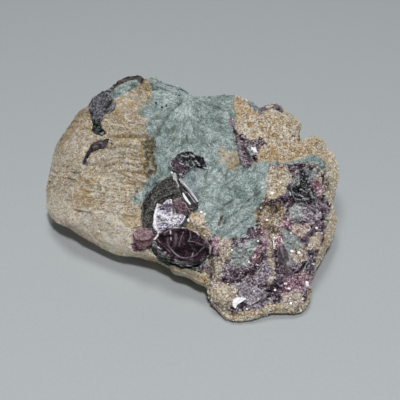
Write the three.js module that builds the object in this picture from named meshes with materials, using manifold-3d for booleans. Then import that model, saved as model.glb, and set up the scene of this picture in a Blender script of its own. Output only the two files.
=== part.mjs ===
// A hand specimen of lepidolite: a broken block of pegmatite, mostly buff feldspar crossed by a band
// of fine blue-green mica, with a purple patch of fine lepidolite at its right end and ten larger
// lepidolite books grown into it.
//
// Units are millimetres, +Z is up and the block rests on the flat underside of its broken base at
// z = 0. The block is laid out square-on to its display face, on a sheet of 400 by 400 squares with
// x to the right and y down. The face frame has u to the right, v up the sheet and w out of it, and
// it leans back so that the display face looks up and forwards, along -Y and +Z.
import * as THREE from "three";
import { mergeVertices } from "three/addons/utils/BufferGeometryUtils.js";
import Module from "manifold-3d";

const wasm = await Module();
wasm.setup();

// ---------------------------------------------------------------- driving dimensions

const SQUARE = 1 / 3; // size of one square of the sheet: the block is 292 squares wide, 97 mm
const SHEET_CENTRE = 200; // the face frame's origin on the sheet, in x and in y
const EYE = 360; // the sheet is drawn as seen from this far in front of the face frame's origin
const LEAN = 50; // degrees that the face frame's v axis rises above the table
const SEAT = [2.5, -7, 22.4]; // the face frame's origin above the middle of the block's footprint
const UNDER_BEVEL = 9; // how far in from the rim the underside is rounded
const RIDGE_ROUNDING = 0.7; // facets meet over about this width
const CELLS = 42; // squares along each side of the surface grid, on the face and on the underside
const RIM_CROWDING = 1.3; // above 1 the grid lines draw together towards the rim
const POCKET_GAP = 0.35; // clearance between a crystal and the pocket it sits in

// The rim, anticlockwise on the sheet from the left end of the top: x and y in squares, the rim's height
// above the table and how far in from it the display face is rounded.
const RIM = [
  [136, 76, 40, 4], [122, 79, 39, 4], [108, 89.5, 36, 5], [97.5, 94.5, 34, 6], [88, 106, 30, 8],
  [79.5, 111.5, 28, 9], [68.5, 126.5, 24, 10], [62, 135.5, 21.5, 11], [56, 147, 19, 11],
  [50, 171, 15, 11], [47, 188, 13, 10], [46.8, 204, 11, 9], [48.8, 214, 9.5, 8],
  [57.5, 223, 8.5, 7], [69, 227.8, 8.3, 7], [80, 235.3, 8, 6], [92, 242.2, 7.5, 6],
  [105, 249.4, 7, 6], [119.5, 255.4, 6.5, 6], [134, 256.6, 7, 5], [147, 259.4, 6.5, 5],
  [160, 263, 5.5, 4], [168, 266, 5, 3], [174, 273.5, 4.5, 2.5], [187, 277.2, 4.5, 2.5],
  [196.5, 282.8, 4, 2.5], [204, 286.4, 3.5, 2.5], [208.5, 291, 3, 3], [210.5, 301.2, 2, 3],
  [221.5, 315, 1.4, 3], [230, 319.8, 1.2, 3], [240, 321.4, 1.2, 3], [256, 318.4, 1.4, 3],
  [268, 314, 1.6, 2.5], [283.5, 312.8, 1.4, 3], [299, 312.8, 1.4, 4], [307.6, 304.8, 2, 4],
  [310.6, 293, 2.5, 4], [310.8, 281, 3.4, 4], [315, 271.5, 4, 5], [321.5, 258, 5, 5],
  [328.4, 246, 6.5, 5], [333.4, 234, 8, 5], [336, 218, 10, 5], [333, 203, 13, 5],
  [336.8, 185, 15, 6], [338.4, 172, 17, 7], [334, 155.5, 20, 7], [327, 149.5, 21, 7],
  [323, 141.3, 22, 7], [316, 136.8, 23, 6], [306.8, 138.6, 24, 5], [301.8, 139.6, 25, 5],
  [299.8, 133, 26, 5], [300.4, 124.6, 27, 6], [295.4, 117.8, 28, 6], [287, 112.6, 29, 6],
  [281.6, 106.6, 30, 6], [273.5, 103.9, 30, 6], [266, 106.5, 30.5, 5], [260.8, 109, 31, 5],
  [252.3, 103, 32, 5], [243.7, 98.7, 33, 5], [235, 95.4, 34, 5], [214.5, 96.2, 35, 6],
  [195.5, 97, 36, 6], [183, 89.4, 38, 5], [174, 86, 39, 5], [164, 83, 40, 5], [155, 78.6, 41, 4],
  [148.6, 78.8, 41, 4], [142, 79, 40.5, 4],
];
const RIM_HUB = [195, 200]; // every point of the rim can be seen from here

// Facets of the display face, each through a point of the sheet at a height w out of it, with its
// rise along u and along v. The face is the lowest of them everywhere.
const FACE_FACETS = [
  { name: "feldspar block", at: [148, 190], w: 4, alongU: 0.2, alongV: -0.55 },
  { name: "upper green face", at: [200, 200], w: 6, alongU: 0.07, alongV: -0.496 },
  { name: "back shelf", at: [270, 160], w: 1, alongU: 0.01, alongV: -1.1 },
  { name: "front face", at: [270, 160], w: 1, alongU: -0.1, alongV: -0.243 },
  { name: "lower left flank", at: [100, 216], w: 5.4, alongU: 0.6, alongV: 0.6 },
  { name: "left flank", at: [70, 150], w: -8.6, alongU: 1.0, alongV: -0.3 },
  { name: "right flank", at: [322, 200], w: 2.1, alongU: -1.2, alongV: -0.2 },
];

// Facets of the underside, each through a point given from the spot on the table below the face
// frame's origin, facing an azimuth (0 is +X, 90 is +Y) and a number of degrees downwards.
const UNDER_FACETS = [
  { name: "base", through: [0, 0, -1.6], azimuth: 0, down: 90 },
  { name: "back", through: [0, 43, 26], azimuth: 91, down: 8 },
  { name: "back left", through: [-43, 34, 24], azimuth: 137, down: 26 },
  { name: "left end", through: [-51, 8, 10], azimuth: 184, down: 60 },
  { name: "front left", through: [-32, -7, 7], azimuth: 228, down: 62 },
  { name: "right end", through: [46, 5, 10], azimuth: -8, down: 46 },
  { name: "back right", through: [40, 32, 23], azimuth: 40, down: 26 },
];
const UNDER_ROUNDING = 3;

// Larger hollows and rises of the display face: a line on the sheet, its width and depth, both in
// millimetres. A negative depth is a rise.
const CREASES = [
  { name: "behind the ridge", line: [[214, 158], [238, 154], [270, 150], [300, 145]], width: 3.6, depth: 2 },
  { name: "beside the block", line: [[150, 136], [149, 150], [152, 170]], width: 1.7, depth: 2.4 },
  { name: "diagonal step", line: [[170, 104], [158, 122], [151, 136]], width: 1.3, depth: 0.8 },
  { name: "beside the lobe", line: [[213, 258], [212, 275], [209, 289]], width: 1.6, depth: 1.8 },
  { name: "rusty pocket", line: [[262, 206], [270, 212], [283, 205]], width: 2.0, depth: 1.4 },
  { name: "ridge crest", line: [[212, 168], [240, 167], [271, 163], [300, 158], [322, 163]], width: 1.6, depth: -0.9 },
  { name: "ledge under the books", line: [[172, 268], [186, 272], [203, 282]], width: 1.8, depth: -1.6 },
  { name: "lobe", line: [[228, 300], [250, 296], [290, 296]], width: 7, depth: -1.8 },
  { name: "edge of the block", line: [[146, 92], [140, 112], [144, 128], [140, 150], [146, 176]], width: 3.4, depth: -1.2 },
  { name: "smooth hollow", line: [[70, 152], [82, 136], [98, 130]], width: 5, depth: 0.9 },
];

// Lumps all over the block: the size of a lump and how far it stands out, in millimetres.
const LUMPS = [
  { size: 17, height: 1.5 },
  { size: 7.5, height: 0.75 },
];
const LUMP_MARGIN = 7; // the lumps fade out over this distance from the rim

// The lepidolite crystals. Each is a stack of cleavage sheets: the node it belongs to, the outline of
// its top sheet as it is seen on the layout sheet, a place on the sheet that the top sheet's plane
// passes through and how far out of the sheet it is there, the way it faces, how much of its edge
// stands out of the stone, and its tiers from the deepest, each with the heights where it starts and
// ends below the top sheet, its share of the outline and its shift. Crystals of one node have grown
// into each other.
const CRYSTALS = [
  {
    node: "book_cluster", at: [184, 245], w: 12.4, facing: [0.06, 0.42, 0.905], exposed: 3.6,
    outline: [
      [152, 239], [156, 233], [162, 229], [169, 227], [178, 226], [188, 228], [196, 232], [202, 237], [209, 243],
      [214, 249], [212, 254], [207, 258], [200, 262], [192, 264], [183, 263], [173, 259], [164, 253], [156, 246],
    ],
    tiers: [[-5.4, -3, 0.94, [-0.1, -0.3]], [-3, -1.4, 0.98, [0, -0.2]], [-1.4, 0, 1, [0, 0]]],
  },
  {
    node: "book_cluster", at: [160, 203], w: 6.1, facing: [-0.08, 0.45, 0.89], exposed: 1.2,
    outline: [
      [142, 226], [140.5, 214], [141, 204], [145, 196], [153, 187], [162, 181], [170, 177], [175, 176],
      [180, 184], [187, 196], [191, 206], [188, 216], [182, 226], [166, 236], [152, 234],
    ],
    tiers: [[-4, -1.2, 1.04, [0, 0.3]], [-1.2, 0, 1, [0, 0]]],
  },
  {
    node: "book_cluster", at: [168, 214], w: 8.2, facing: [0.08, 0.38, 0.92], exposed: 0,
    outline: [
      [153, 206], [158, 202], [166, 200], [172, 198.5], [177, 200], [183, 203], [188, 208], [187, 218],
      [185, 223], [178, 225], [168, 227], [162, 230], [158, 233], [154, 229], [152.5, 218],
    ],
    tiers: [[-3, 0, 1, [0, 0]]],
  },
  {
    node: "book_cluster", at: [186, 192], w: 4.7, facing: [0.05, 0.45, 0.89], exposed: 0.3,
    outline: [[172.5, 176], [176, 175.5], [182, 184], [189, 190], [195, 198], [199, 206], [196, 209], [189, 206], [184, 195], [178, 187]],
    tiers: [[-3, 0, 1, [0, 0]]],
  },
  {
    node: "upper_book", at: [189, 163], w: 1.4, facing: [0.05, 0.46, 0.89], exposed: 1.4,
    outline: [
      [178, 154], [184, 151.5], [191, 152], [196, 155], [202, 156], [206, 162], [208, 168], [204, 168],
      [199, 163], [193, 166], [187, 169], [183, 171.5], [177, 170.5], [172, 168], [170, 163], [174, 158],
    ],
    tiers: [[-4, -1.2, 1.02, [0, 0.1]], [-1.2, 0, 1, [0, 0]]],
  },
  {
    node: "shoulder_book", at: [98, 112], w: -18, facing: [-0.5, 0.62, 0.6], exposed: 1.4,
    outline: [
      [88, 110], [89, 104], [93, 98], [99, 94], [105, 92], [110, 95], [112, 100], [110, 107],
      [106, 113], [101, 117], [95, 120], [91, 117],
    ],
    tiers: [[-5.5, -1.2, 1, [0, 0]], [-1.2, 0, 0.94, [0, 0]]],
  },
  {
    node: "shoulder_book", at: [98, 126], w: -12.6, facing: [-0.3, 0.7, 0.65], exposed: 0.8,
    outline: [[91, 115], [101, 114], [100, 122], [102, 128], [105, 131], [101, 134], [95, 132], [91, 130], [93, 124]],
    tiers: [[-3.6, 0, 1, [0, 0]]],
  },
  {
    node: "crest_plate", at: [126, 80], w: -26, facing: [-0.35, 0.75, 0.56], exposed: 0.7,
    outline: [
      [113, 90], [114, 85.5], [118, 82], [122, 79.5], [130, 76.5], [138, 76.5], [143, 80], [142, 84],
      [136, 81.5], [128, 81.2], [121, 84.5], [117, 89],
    ],
    tiers: [[-2.6, 0, 1, [0, 0]]],
  },
  {
    node: "left_flake", at: [98, 146], w: -8.1, facing: [-0.05, 0.35, 0.93], exposed: 0.6,
    outline: [
      [87, 152], [90, 146], [95, 142], [102, 140], [108.5, 139], [108, 143], [105, 148], [99, 149.5],
      [94, 151], [89, 157], [85, 162], [82.5, 162], [84, 156],
    ],
    tiers: [[-2.4, 0, 1, [0, 0]]],
  },
  {
    node: "rose_book", at: [143, 237], w: 9.9, facing: [-0.12, 0.3, 0.94], exposed: 1.2,
    outline: [
      [132, 234.5], [134.5, 231.5], [139, 231], [144, 232.5], [147.5, 235.5], [147, 241], [146, 245.5],
      [142, 247.5], [137, 246], [133.5, 241],
    ],
    tiers: [[-2.8, -0.8, 1, [0, 0]], [-0.8, 0.7, 0.86, [0.1, 0.4]]],
  },
  {
    node: "vein_book", at: [247, 150], w: -2.2, facing: [0.1, 0.73, 0.66], exposed: 0.8,
    outline: [
      [237, 134], [241, 137], [245, 143], [253, 146], [257, 149], [256, 154], [253, 160], [251, 164],
      [244, 165], [240, 158], [238, 147],
    ],
    tiers: [[-3.2, 0, 1, [0, 0]]],
  },
  {
    node: "dark_book", at: [301, 190], w: 2.7, facing: [0.08, 0.25, 0.965], exposed: 1,
    outline: [
      [303, 166], [308, 165], [311, 170], [309, 178], [313, 184], [316, 192], [317, 199], [311, 203],
      [304, 204], [298, 202], [293, 196], [290, 191], [291, 186], [297, 182], [302, 178], [301, 172],
    ],
    tiers: [[-3.2, -0.8, 1.03, [0, 0]], [-0.8, 0, 1, [0, 0]]],
  },
  {
    node: "edge_book", at: [322, 207], w: 2, facing: [0.5, 0.3, 0.81], exposed: 0.8,
    outline: [[319, 201.5], [322, 202.5], [326, 205], [330.5, 208], [329.5, 212], [324, 214], [319.5, 210.5], [318, 206]],
    tiers: [[-3, 0, 1, [0, 0]]],
  },
];
const BANK_SLOPE = 1.2; // how steeply the stone rises around the exposed edge of a crystal
const BANK_REACH = 5; // how far from a crystal the stone is lowered

// ---------------------------------------------------------------- helpers

const radians = THREE.MathUtils.degToRad;

/** A sheet square's u and v, before the taper towards the eye. */
const sheetUV = (x, y) => [(x - SHEET_CENTRE) * SQUARE, (SHEET_CENTRE - y) * SQUARE];

/** The point of the face frame that covers u, v on the sheet and stands w out of it. */
const facePoint = (u, v, w) => new THREE.Vector3(u * (1 - w / EYE), v * (1 - w / EYE), w);

/** A repeatable random number from 0 to 1 for a lattice point. */
function lattice(i, j, k) {
  let h = Math.imul(i, 73856093) ^ Math.imul(j, 19349663) ^ Math.imul(k, 83492791);
  h = Math.imul(h ^ (h >>> 13), 1274126177);
  return ((h ^ (h >>> 16)) >>> 0) / 4294967296;
}

/** Smooth noise from -1 to 1: random values on a cubic lattice, blended across each cell. */
function noise(p, size, layer) {
  const q = [p.x / size + 31 * layer, p.y / size + 17 * layer, p.z / size + 7 * layer];
  const cell = q.map(Math.floor);
  const [fx, fy, fz] = q.map((value, i) => THREE.MathUtils.smootherstep(value - cell[i], 0, 1));
  let sum = 0;
  for (const [dx, wx] of [[0, 1 - fx], [1, fx]])
    for (const [dy, wy] of [[0, 1 - fy], [1, fy]])
      for (const [dz, wz] of [[0, 1 - fz], [1, fz]])
        sum += wx * wy * wz * lattice(cell[0] + dx, cell[1] + dy, cell[2] + dz);
  return 2 * sum - 1;
}

/** The smaller (sign 1) or larger (sign -1) of the values, rounded over a width where they cross. */
function softExtreme(values, width, sign) {
  const edge = sign * Math.min(...values.map((value) => sign * value));
  const sum = values.reduce((total, value) => total + Math.exp((-sign * (value - edge)) / width), 0);
  return edge - sign * width * Math.log(sum);
}

/** Distance in millimetres from a sheet point to a line of sheet points. */
function distanceToLine(x, y, line) {
  let best = Infinity;
  for (let i = 1; i < line.length; i++) {
    const [ax, ay] = line[i - 1];
    const [bx, by] = line[i];
    const along = ((x - ax) * (bx - ax) + (y - ay) * (by - ay)) / ((bx - ax) ** 2 + (by - ay) ** 2);
    const t = THREE.MathUtils.clamp(along, 0, 1);
    best = Math.min(best, Math.hypot(x - ax - t * (bx - ax), y - ay - t * (by - ay)));
  }
  return best * SQUARE;
}

/** Whether a sheet point is inside a closed outline, by the crossings of a ray to its right. */
function isInside(x, y, outline) {
  let inside = false;
  outline.forEach(([bx, by], i) => {
    const [ax, ay] = outline[(i + outline.length - 1) % outline.length];
    if (ay > y !== by > y && x < ((bx - ax) * (y - ay)) / (by - ay) + ax) inside = !inside;
  });
  return inside;
}

/** A closed geometry, already in the frame it is cut in, as a manifold solid. */
function solidOf(geometry) {
  const bare = geometry.index ? geometry.toNonIndexed() : geometry.clone();
  bare.deleteAttribute("normal");
  bare.deleteAttribute("uv");
  const merged = mergeVertices(bare, 1e-4);
  const mesh = new wasm.Mesh({
    numProp: 3,
    vertProperties: merged.attributes.position.array,
    triVerts: new Uint32Array(merged.index.array),
  });
  return new wasm.Manifold(mesh);
}

/** A manifold solid as a three.js geometry with flat shading. */
function geometryOf(solid) {
  const mesh = solid.getMesh();
  const points = new Float32Array(mesh.numVert * 3);
  for (let i = 0; i < mesh.numVert; i++)
    points.set(mesh.vertProperties.subarray(i * mesh.numProp, i * mesh.numProp + 3), i * 3);
  const geometry = new THREE.BufferGeometry()
    .setAttribute("position", new THREE.BufferAttribute(points, 3))
    .setIndex(new THREE.BufferAttribute(mesh.triVerts, 1))
    .toNonIndexed();
  geometry.computeVertexNormals();
  return geometry;
}

// ---------------------------------------------------------------- the frames

const face = new THREE.Group(); // holds everything that is laid out on the sheet
face.rotation.x = radians(LEAN);
face.position.set(...SEAT);
face.updateMatrix();
const toFace = face.matrix.clone().invert();

// ---------------------------------------------------------------- the block's surface

const rimCurve = new THREE.CatmullRomCurve3(
  RIM.map(([x, y, height]) => new THREE.Vector3(x, y, height)), true, "catmullrom", 0.5,
);
rimCurve.arcLengthDivisions = 3000;

/** w where a sheet point's sight line crosses the level z = height above the table. */
function depthAtHeight(v, height) {
  const rise = Math.sin(radians(LEAN));
  return (height - SEAT[2] - v * rise) / (Math.cos(radians(LEAN)) - (v * rise) / EYE);
}

/** The rim at a share of its length: its u, v, depth and the bevel of the display face there. */
function rimAt(share) {
  const at = rimCurve.getPointAt(share);
  const place = rimCurve.getUtoTmapping(share) * RIM.length;
  const before = Math.floor(place) % RIM.length;
  const after = (before + 1) % RIM.length;
  const bevel = THREE.MathUtils.lerp(RIM[before][3], RIM[after][3], place - Math.floor(place));
  const [u, v] = sheetUV(at.x, at.y);
  return { u, v, w: depthAtHeight(v, at.z), bevel };
}

/** w of the display face's facets over a sheet point. */
function faceDepth(u, v) {
  const depths = FACE_FACETS.map(({ at, w, alongU, alongV }) => {
    const [u0, v0] = sheetUV(...at);
    return w + alongU * (u - u0) + alongV * (v - v0);
  });
  return softExtreme(depths, RIDGE_ROUNDING, 1);
}

const UNDER_PLANES = UNDER_FACETS.map(({ through, azimuth, down }) => {
  const flat = Math.cos(radians(down));
  const normal = new THREE.Vector3(
    flat * Math.cos(radians(azimuth)), flat * Math.sin(radians(azimuth)), -Math.sin(radians(down)),
  );
  const point = new THREE.Vector3(SEAT[0], SEAT[1], 0).add(new THREE.Vector3(...through));
  return new THREE.Plane().setFromNormalAndCoplanarPoint(normal, point).applyMatrix4(toFace);
});

/** w of the underside's facets beneath a sheet point: the last one that its sight line crosses. */
function underDepth(u, v) {
  const depths = UNDER_PLANES.map(({ normal, constant }) => {
    const across = normal.x * u + normal.y * v;
    return -(constant + across) / (normal.z - across / EYE);
  });
  return softExtreme(depths, UNDER_ROUNDING, -1);
}

/** w where the sight line over a sheet point crosses the plane of a crystal's top sheet. */
function crystalDepth({ at, w, facing }, u, v) {
  const normal = new THREE.Vector3(...facing).normalize();
  const across = normal.x * u + normal.y * v;
  return (normal.dot(facePoint(...sheetUV(...at), w)) - across) / (normal.z - across / EYE);
}

/** w of the face, lowered to the foot of each crystal's exposed edge, with a bank round it. */
function lowerRoundCrystals(w, u, v, x, y) {
  return CRYSTALS.filter(({ exposed }) => exposed > 0).reduce((depth, crystal) => {
    const { outline, exposed } = crystal;
    const outside = isInside(x, y, outline) ? 0 : distanceToLine(x, y, [...outline, outline[0]]);
    if (outside >= BANK_REACH) return depth;
    return Math.min(depth, crystalDepth(crystal, u, v) - exposed + BANK_SLOPE * outside);
  }, w);
}

/** Share of the way from the rim to a facet, at a distance in from the rim: a quarter ellipse. */
function bevelShare(distance, bevel) {
  const left = Math.max(0, 1 - distance / bevel);
  return Math.sqrt(1 - left * left);
}

/** How far the creases raise the display face at a sheet point. */
function creaseRise(x, y) {
  return CREASES.reduce((rise, { line, width, depth }) => {
    const distance = distanceToLine(x, y, line) / width;
    return rise - depth * Math.exp(-distance * distance);
  }, 0);
}

/** One side of a square's outline as the share of the way round it, anticlockwise from corner 1, 1. */
function shareOfSquare(a, b) {
  if (b >= Math.abs(a)) return (1 - a) / 8;
  if (-a >= Math.abs(b)) return (3 - b) / 8;
  if (-b >= Math.abs(a)) return (5 + a) / 8;
  return (7 + b) / 8;
}

/** The block's display face or underside over a point a, b of the square from -1 to 1. Gives the
 * point and its distance in from the rim. */
function surfacePoint(a, b, isFace) {
  const ring = Math.max(Math.abs(a), Math.abs(b));
  const hub = sheetUV(...RIM_HUB);
  const rim = rimAt(ring > 0 ? shareOfSquare(a / ring, b / ring) % 1 : 0);
  const out = 1 - (1 - ring) ** RIM_CROWDING;
  const u = THREE.MathUtils.lerp(hub[0], rim.u, out);
  const v = THREE.MathUtils.lerp(hub[1], rim.v, out);
  const inFromRim = Math.hypot(rim.u - u, rim.v - v);
  if (isFace) {
    const x = SHEET_CENTRE + u / SQUARE;
    const y = SHEET_CENTRE - v / SQUARE;
    const target = faceDepth(u, v) + creaseRise(x, y);
    const bevelled = THREE.MathUtils.lerp(rim.w, target, bevelShare(inFromRim, rim.bevel));
    const w = inFromRim > 0 ? lowerRoundCrystals(bevelled, u, v, x, y) : rim.w;
    return { point: facePoint(u, v, w), inFromRim };
  }
  const w = THREE.MathUtils.lerp(rim.w, underDepth(u, v), bevelShare(inFromRim, UNDER_BEVEL));
  return { point: facePoint(u, v, w), inFromRim };
}

/** The whole block as one closed surface: a face grid and an underside grid that share the rim. */
function blockGeometry() {
  const points = [];
  const margins = [];
  const index = { true: [], false: [] };
  for (const isFace of [true, false])
    for (let j = 0; j <= CELLS; j++)
      for (let i = 0; i <= CELLS; i++) {
        const onRim = i === 0 || j === 0 || i === CELLS || j === CELLS;
        if (!isFace && onRim) {
          index[isFace].push(index[true][j * (CELLS + 1) + i]);
          continue;
        }
        index[isFace].push(points.length);
        const { point, inFromRim } = surfacePoint((2 * i) / CELLS - 1, (2 * j) / CELLS - 1, isFace);
        points.push(point);
        margins.push(inFromRim);
      }
  const triangles = [];
  for (const isFace of [true, false])
    for (let j = 0; j < CELLS; j++)
      for (let i = 0; i < CELLS; i++) {
        const at = (di, dj) => index[isFace][(j + dj) * (CELLS + 1) + i + di];
        const rising = i < CELLS / 2 === j < CELLS / 2;
        const pair = rising
          ? [[at(0, 0), at(1, 0), at(1, 1)], [at(0, 0), at(1, 1), at(0, 1)]]
          : [[at(0, 0), at(1, 0), at(0, 1)], [at(1, 0), at(1, 1), at(0, 1)]];
        for (const [p, q, r] of pair) triangles.push(...(isFace ? [p, q, r] : [p, r, q]));
      }
  const geometry = new THREE.BufferGeometry().setFromPoints(points).setIndex(triangles);
  geometry.computeVertexNormals();
  const { position, normal } = geometry.attributes;
  for (let i = 0; i < position.count; i++) {
    const p = new THREE.Vector3().fromBufferAttribute(position, i);
    const n = new THREE.Vector3().fromBufferAttribute(normal, i);
    const rise = LUMPS.reduce((sum, { size, height }, layer) => sum + height * noise(p, size, layer), 0);
    p.addScaledVector(n, rise * THREE.MathUtils.smoothstep(margins[i], 0, LUMP_MARGIN));
    position.setXYZ(i, p.x, p.y, p.z);
  }
  return geometry;
}

/** The block, cut off flat at the table. */
function blockSolid() {
  const tableThickness = 40;
  const table = new THREE.BoxGeometry(300, 300, tableThickness);
  table.translate(0, 0, -tableThickness / 2).applyMatrix4(toFace);
  return solidOf(blockGeometry()).subtract(solidOf(table));
}

// ---------------------------------------------------------------- the books

/** One tier of a crystal as a prism about its own middle, grown by a clearance all round. */
function tierSolid(outline, [low, high, share, [dx, dy]], clearance, reach) {
  const miterLimit = 2;
  const section = new wasm.CrossSection([outline.map(({ x, y }) => [x * share + dx, y * share + dy])], "EvenOdd");
  const grown = clearance > 0 ? section.offset(clearance, "Miter", miterLimit) : section;
  const bottom = low - clearance;
  return grown.extrude(high + clearance + reach - bottom).translate([0, 0, bottom]);
}

/** A crystal's own frame inside the face frame, z the way its sheets face and x level on the sheet,
 * and its outline in that frame, carried along the sight lines onto the plane of its top sheet. */
function crystalFrame(crystal) {
  const corners = crystal.outline.map(([x, y]) => {
    const [u, v] = sheetUV(x, y);
    return facePoint(u, v, crystalDepth(crystal, u, v));
  });
  const middle = corners.reduce((sum, p) => sum.add(p), new THREE.Vector3()).divideScalar(corners.length);
  const z = new THREE.Vector3(...crystal.facing).normalize();
  const x = new THREE.Vector3(0, 1, 0).cross(z).normalize();
  const y = z.clone().cross(x);
  const matrix = new THREE.Matrix4().makeBasis(x, y, z).setPosition(middle);
  const inverse = matrix.clone().invert();
  return { matrix, outline: corners.map((p) => p.clone().applyMatrix4(inverse)) };
}

/** A crystal's tiers as one solid in the face frame, grown by a clearance and stretched by a reach
 * out of the stone. */
function crystalSolid(crystal, clearance, reach) {
  const { matrix, outline } = crystalFrame(crystal);
  const overlap = 0.05; // of each tier into the one below, so that they join
  return crystal.tiers
    .map(([low, high, share, shift], i) => [i > 0 ? low - overlap : low, high, share, shift])
    .map((tier) => tierSolid(outline, tier, clearance, reach))
    .reduce((whole, tier) => whole.add(tier))
    .transform(matrix.elements);
}

// ---------------------------------------------------------------- the assembly

const OUT_OF_THE_STONE = 30; // how far a pocket's cutter reaches past its crystal
const STONE_COLOUR = 0xb5a68a;
const BOOK_COLOURS = {
  book_cluster: 0x40363c,
  upper_book: 0x3a3a40,
  shoulder_book: 0x5c5c62,
  crest_plate: 0x6a6068,
  left_flake: 0x4c4044,
  rose_book: 0x8c6474,
  vein_book: 0x7a6a74,
  dark_book: 0x44404a,
  edge_book: 0x5c4c58,
};

let stone = blockSolid();
for (const crystal of CRYSTALS)
  stone = stone.subtract(crystalSolid(crystal, POCKET_GAP, OUT_OF_THE_STONE));
// The largest body is the stone; what else the pockets leave is slivers.
stone = stone.decompose().reduce((most, body) => (body.volume() > most.volume() ? body : most));

const stoneMaterial = new THREE.MeshStandardMaterial({ color: STONE_COLOUR, roughness: 0.85 });
const stoneMesh = new THREE.Mesh(geometryOf(stone), stoneMaterial);
stoneMesh.name = "matrix";
face.add(stoneMesh);

for (const [node, color] of Object.entries(BOOK_COLOURS)) {
  const grown = CRYSTALS.filter((crystal) => crystal.node === node)
    .map((crystal) => crystalSolid(crystal, 0, 0))
    .reduce((whole, crystal) => whole.add(crystal));
  const bookMaterial = new THREE.MeshStandardMaterial({ color, roughness: 0.3 });
  const bookMesh = new THREE.Mesh(geometryOf(grown), bookMaterial);
  bookMesh.name = node;
  face.add(bookMesh);
}

const specimen = new THREE.Group();
specimen.add(face);
export default specimen;
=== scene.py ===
"""Dresses the lepidolite specimen: its pegmatite block, its mica books and the fine grains on it.

The block is laid out on a sheet of 400 by 400 squares that faces the viewer, x to the right and y
down, as the solids are. The face frame has u to the right, v up the sheet and w out of it towards
the viewer, in millimetres. The row frame is the CAD's. Every surface is worked out with numpy.
"""

from __future__ import annotations

import logging
import math
from dataclasses import dataclass, field, replace
from enum import Enum
from functools import cache

import bpy
import numpy as np
from numpy.typing import NDArray
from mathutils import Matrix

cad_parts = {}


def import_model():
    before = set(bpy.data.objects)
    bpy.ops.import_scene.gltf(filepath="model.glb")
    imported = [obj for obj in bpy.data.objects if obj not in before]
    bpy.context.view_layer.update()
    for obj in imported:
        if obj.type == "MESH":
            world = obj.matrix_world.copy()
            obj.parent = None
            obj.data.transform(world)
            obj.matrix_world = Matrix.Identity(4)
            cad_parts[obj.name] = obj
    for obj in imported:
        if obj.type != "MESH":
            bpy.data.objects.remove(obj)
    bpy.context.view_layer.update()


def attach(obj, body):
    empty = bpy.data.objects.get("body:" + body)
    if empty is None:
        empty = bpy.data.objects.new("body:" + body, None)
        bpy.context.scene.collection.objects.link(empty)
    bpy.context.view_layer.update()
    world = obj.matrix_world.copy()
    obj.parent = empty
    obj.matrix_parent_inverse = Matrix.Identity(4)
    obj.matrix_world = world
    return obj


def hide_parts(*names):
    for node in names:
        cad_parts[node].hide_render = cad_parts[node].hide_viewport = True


Array = NDArray[np.float64]
Faces = NDArray[np.int64]
Place = tuple[float, float]
Outline = tuple[Place, ...]
Mark = tuple[Outline, float, float]
Colour = tuple[int, int, int]
Node = bpy.types.Node
Socket = bpy.types.NodeSocket

LOG = logging.getLogger("lepidolite")
MM = 0.001


# ------------------------------------------------------------------ small mathematics


def smoothstep(x: Array, low: float, high: float) -> Array:
    """Gives the cubic ramp 3t^2 - 2t^3 of x, from 0 at low to 1 at high, which may be below low."""
    t = np.clip((x - low) / (high - low), 0.0, 1.0)
    return t * t * (3.0 - 2.0 * t)


def lerp(a: Array | float, b: Array | float, t: Array | float) -> Array:
    """Gives a + (b - a) t."""
    return a + (b - a) * t


def unit(v: Array) -> Array:
    """Gives v scaled to length 1 along its last axis."""
    return v / np.maximum(np.linalg.norm(v, axis=-1, keepdims=True), 1e-12)


def bell(distance: Array, width: float) -> Array:
    """Gives exp(-(distance / width)^2)."""
    return np.exp(-((distance / width) ** 2))


def soft_extreme(values: list[Array], width: float, sign: float) -> Array:
    """Gives the smallest (sign 1) or largest (sign -1) of values, rounded where they cross.

    The formula is edge - sign width log(sum of exp(-sign (value - edge) / width)), where edge is
    the sharp extreme.

    Args:
        values: arrays of one shape.
        width: how wide the rounding is.
        sign: 1 for the smallest, -1 for the largest.

    Returns:
        The rounded extreme.
    """
    stack = np.stack(values)
    edge = sign * np.min(sign * stack, axis=0)
    total = np.sum(np.exp(-sign * (stack - edge) / width), axis=0)
    return edge - sign * width * np.log(total)


def to_linear(srgb: Colour) -> tuple[float, float, float, float]:
    """Turns an sRGB colour into the one that shaders use.

    Args:
        srgb: red, green and blue from 0 to 255.

    Returns:
        Linear red, green, blue and an alpha of 1.
    """
    c = np.array(srgb) / 255.0
    linear = np.where(c <= 0.04045, c / 12.92, ((c + 0.055) / 1.055) ** 2.4)
    return (*map(float, linear), 1.0)


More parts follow.
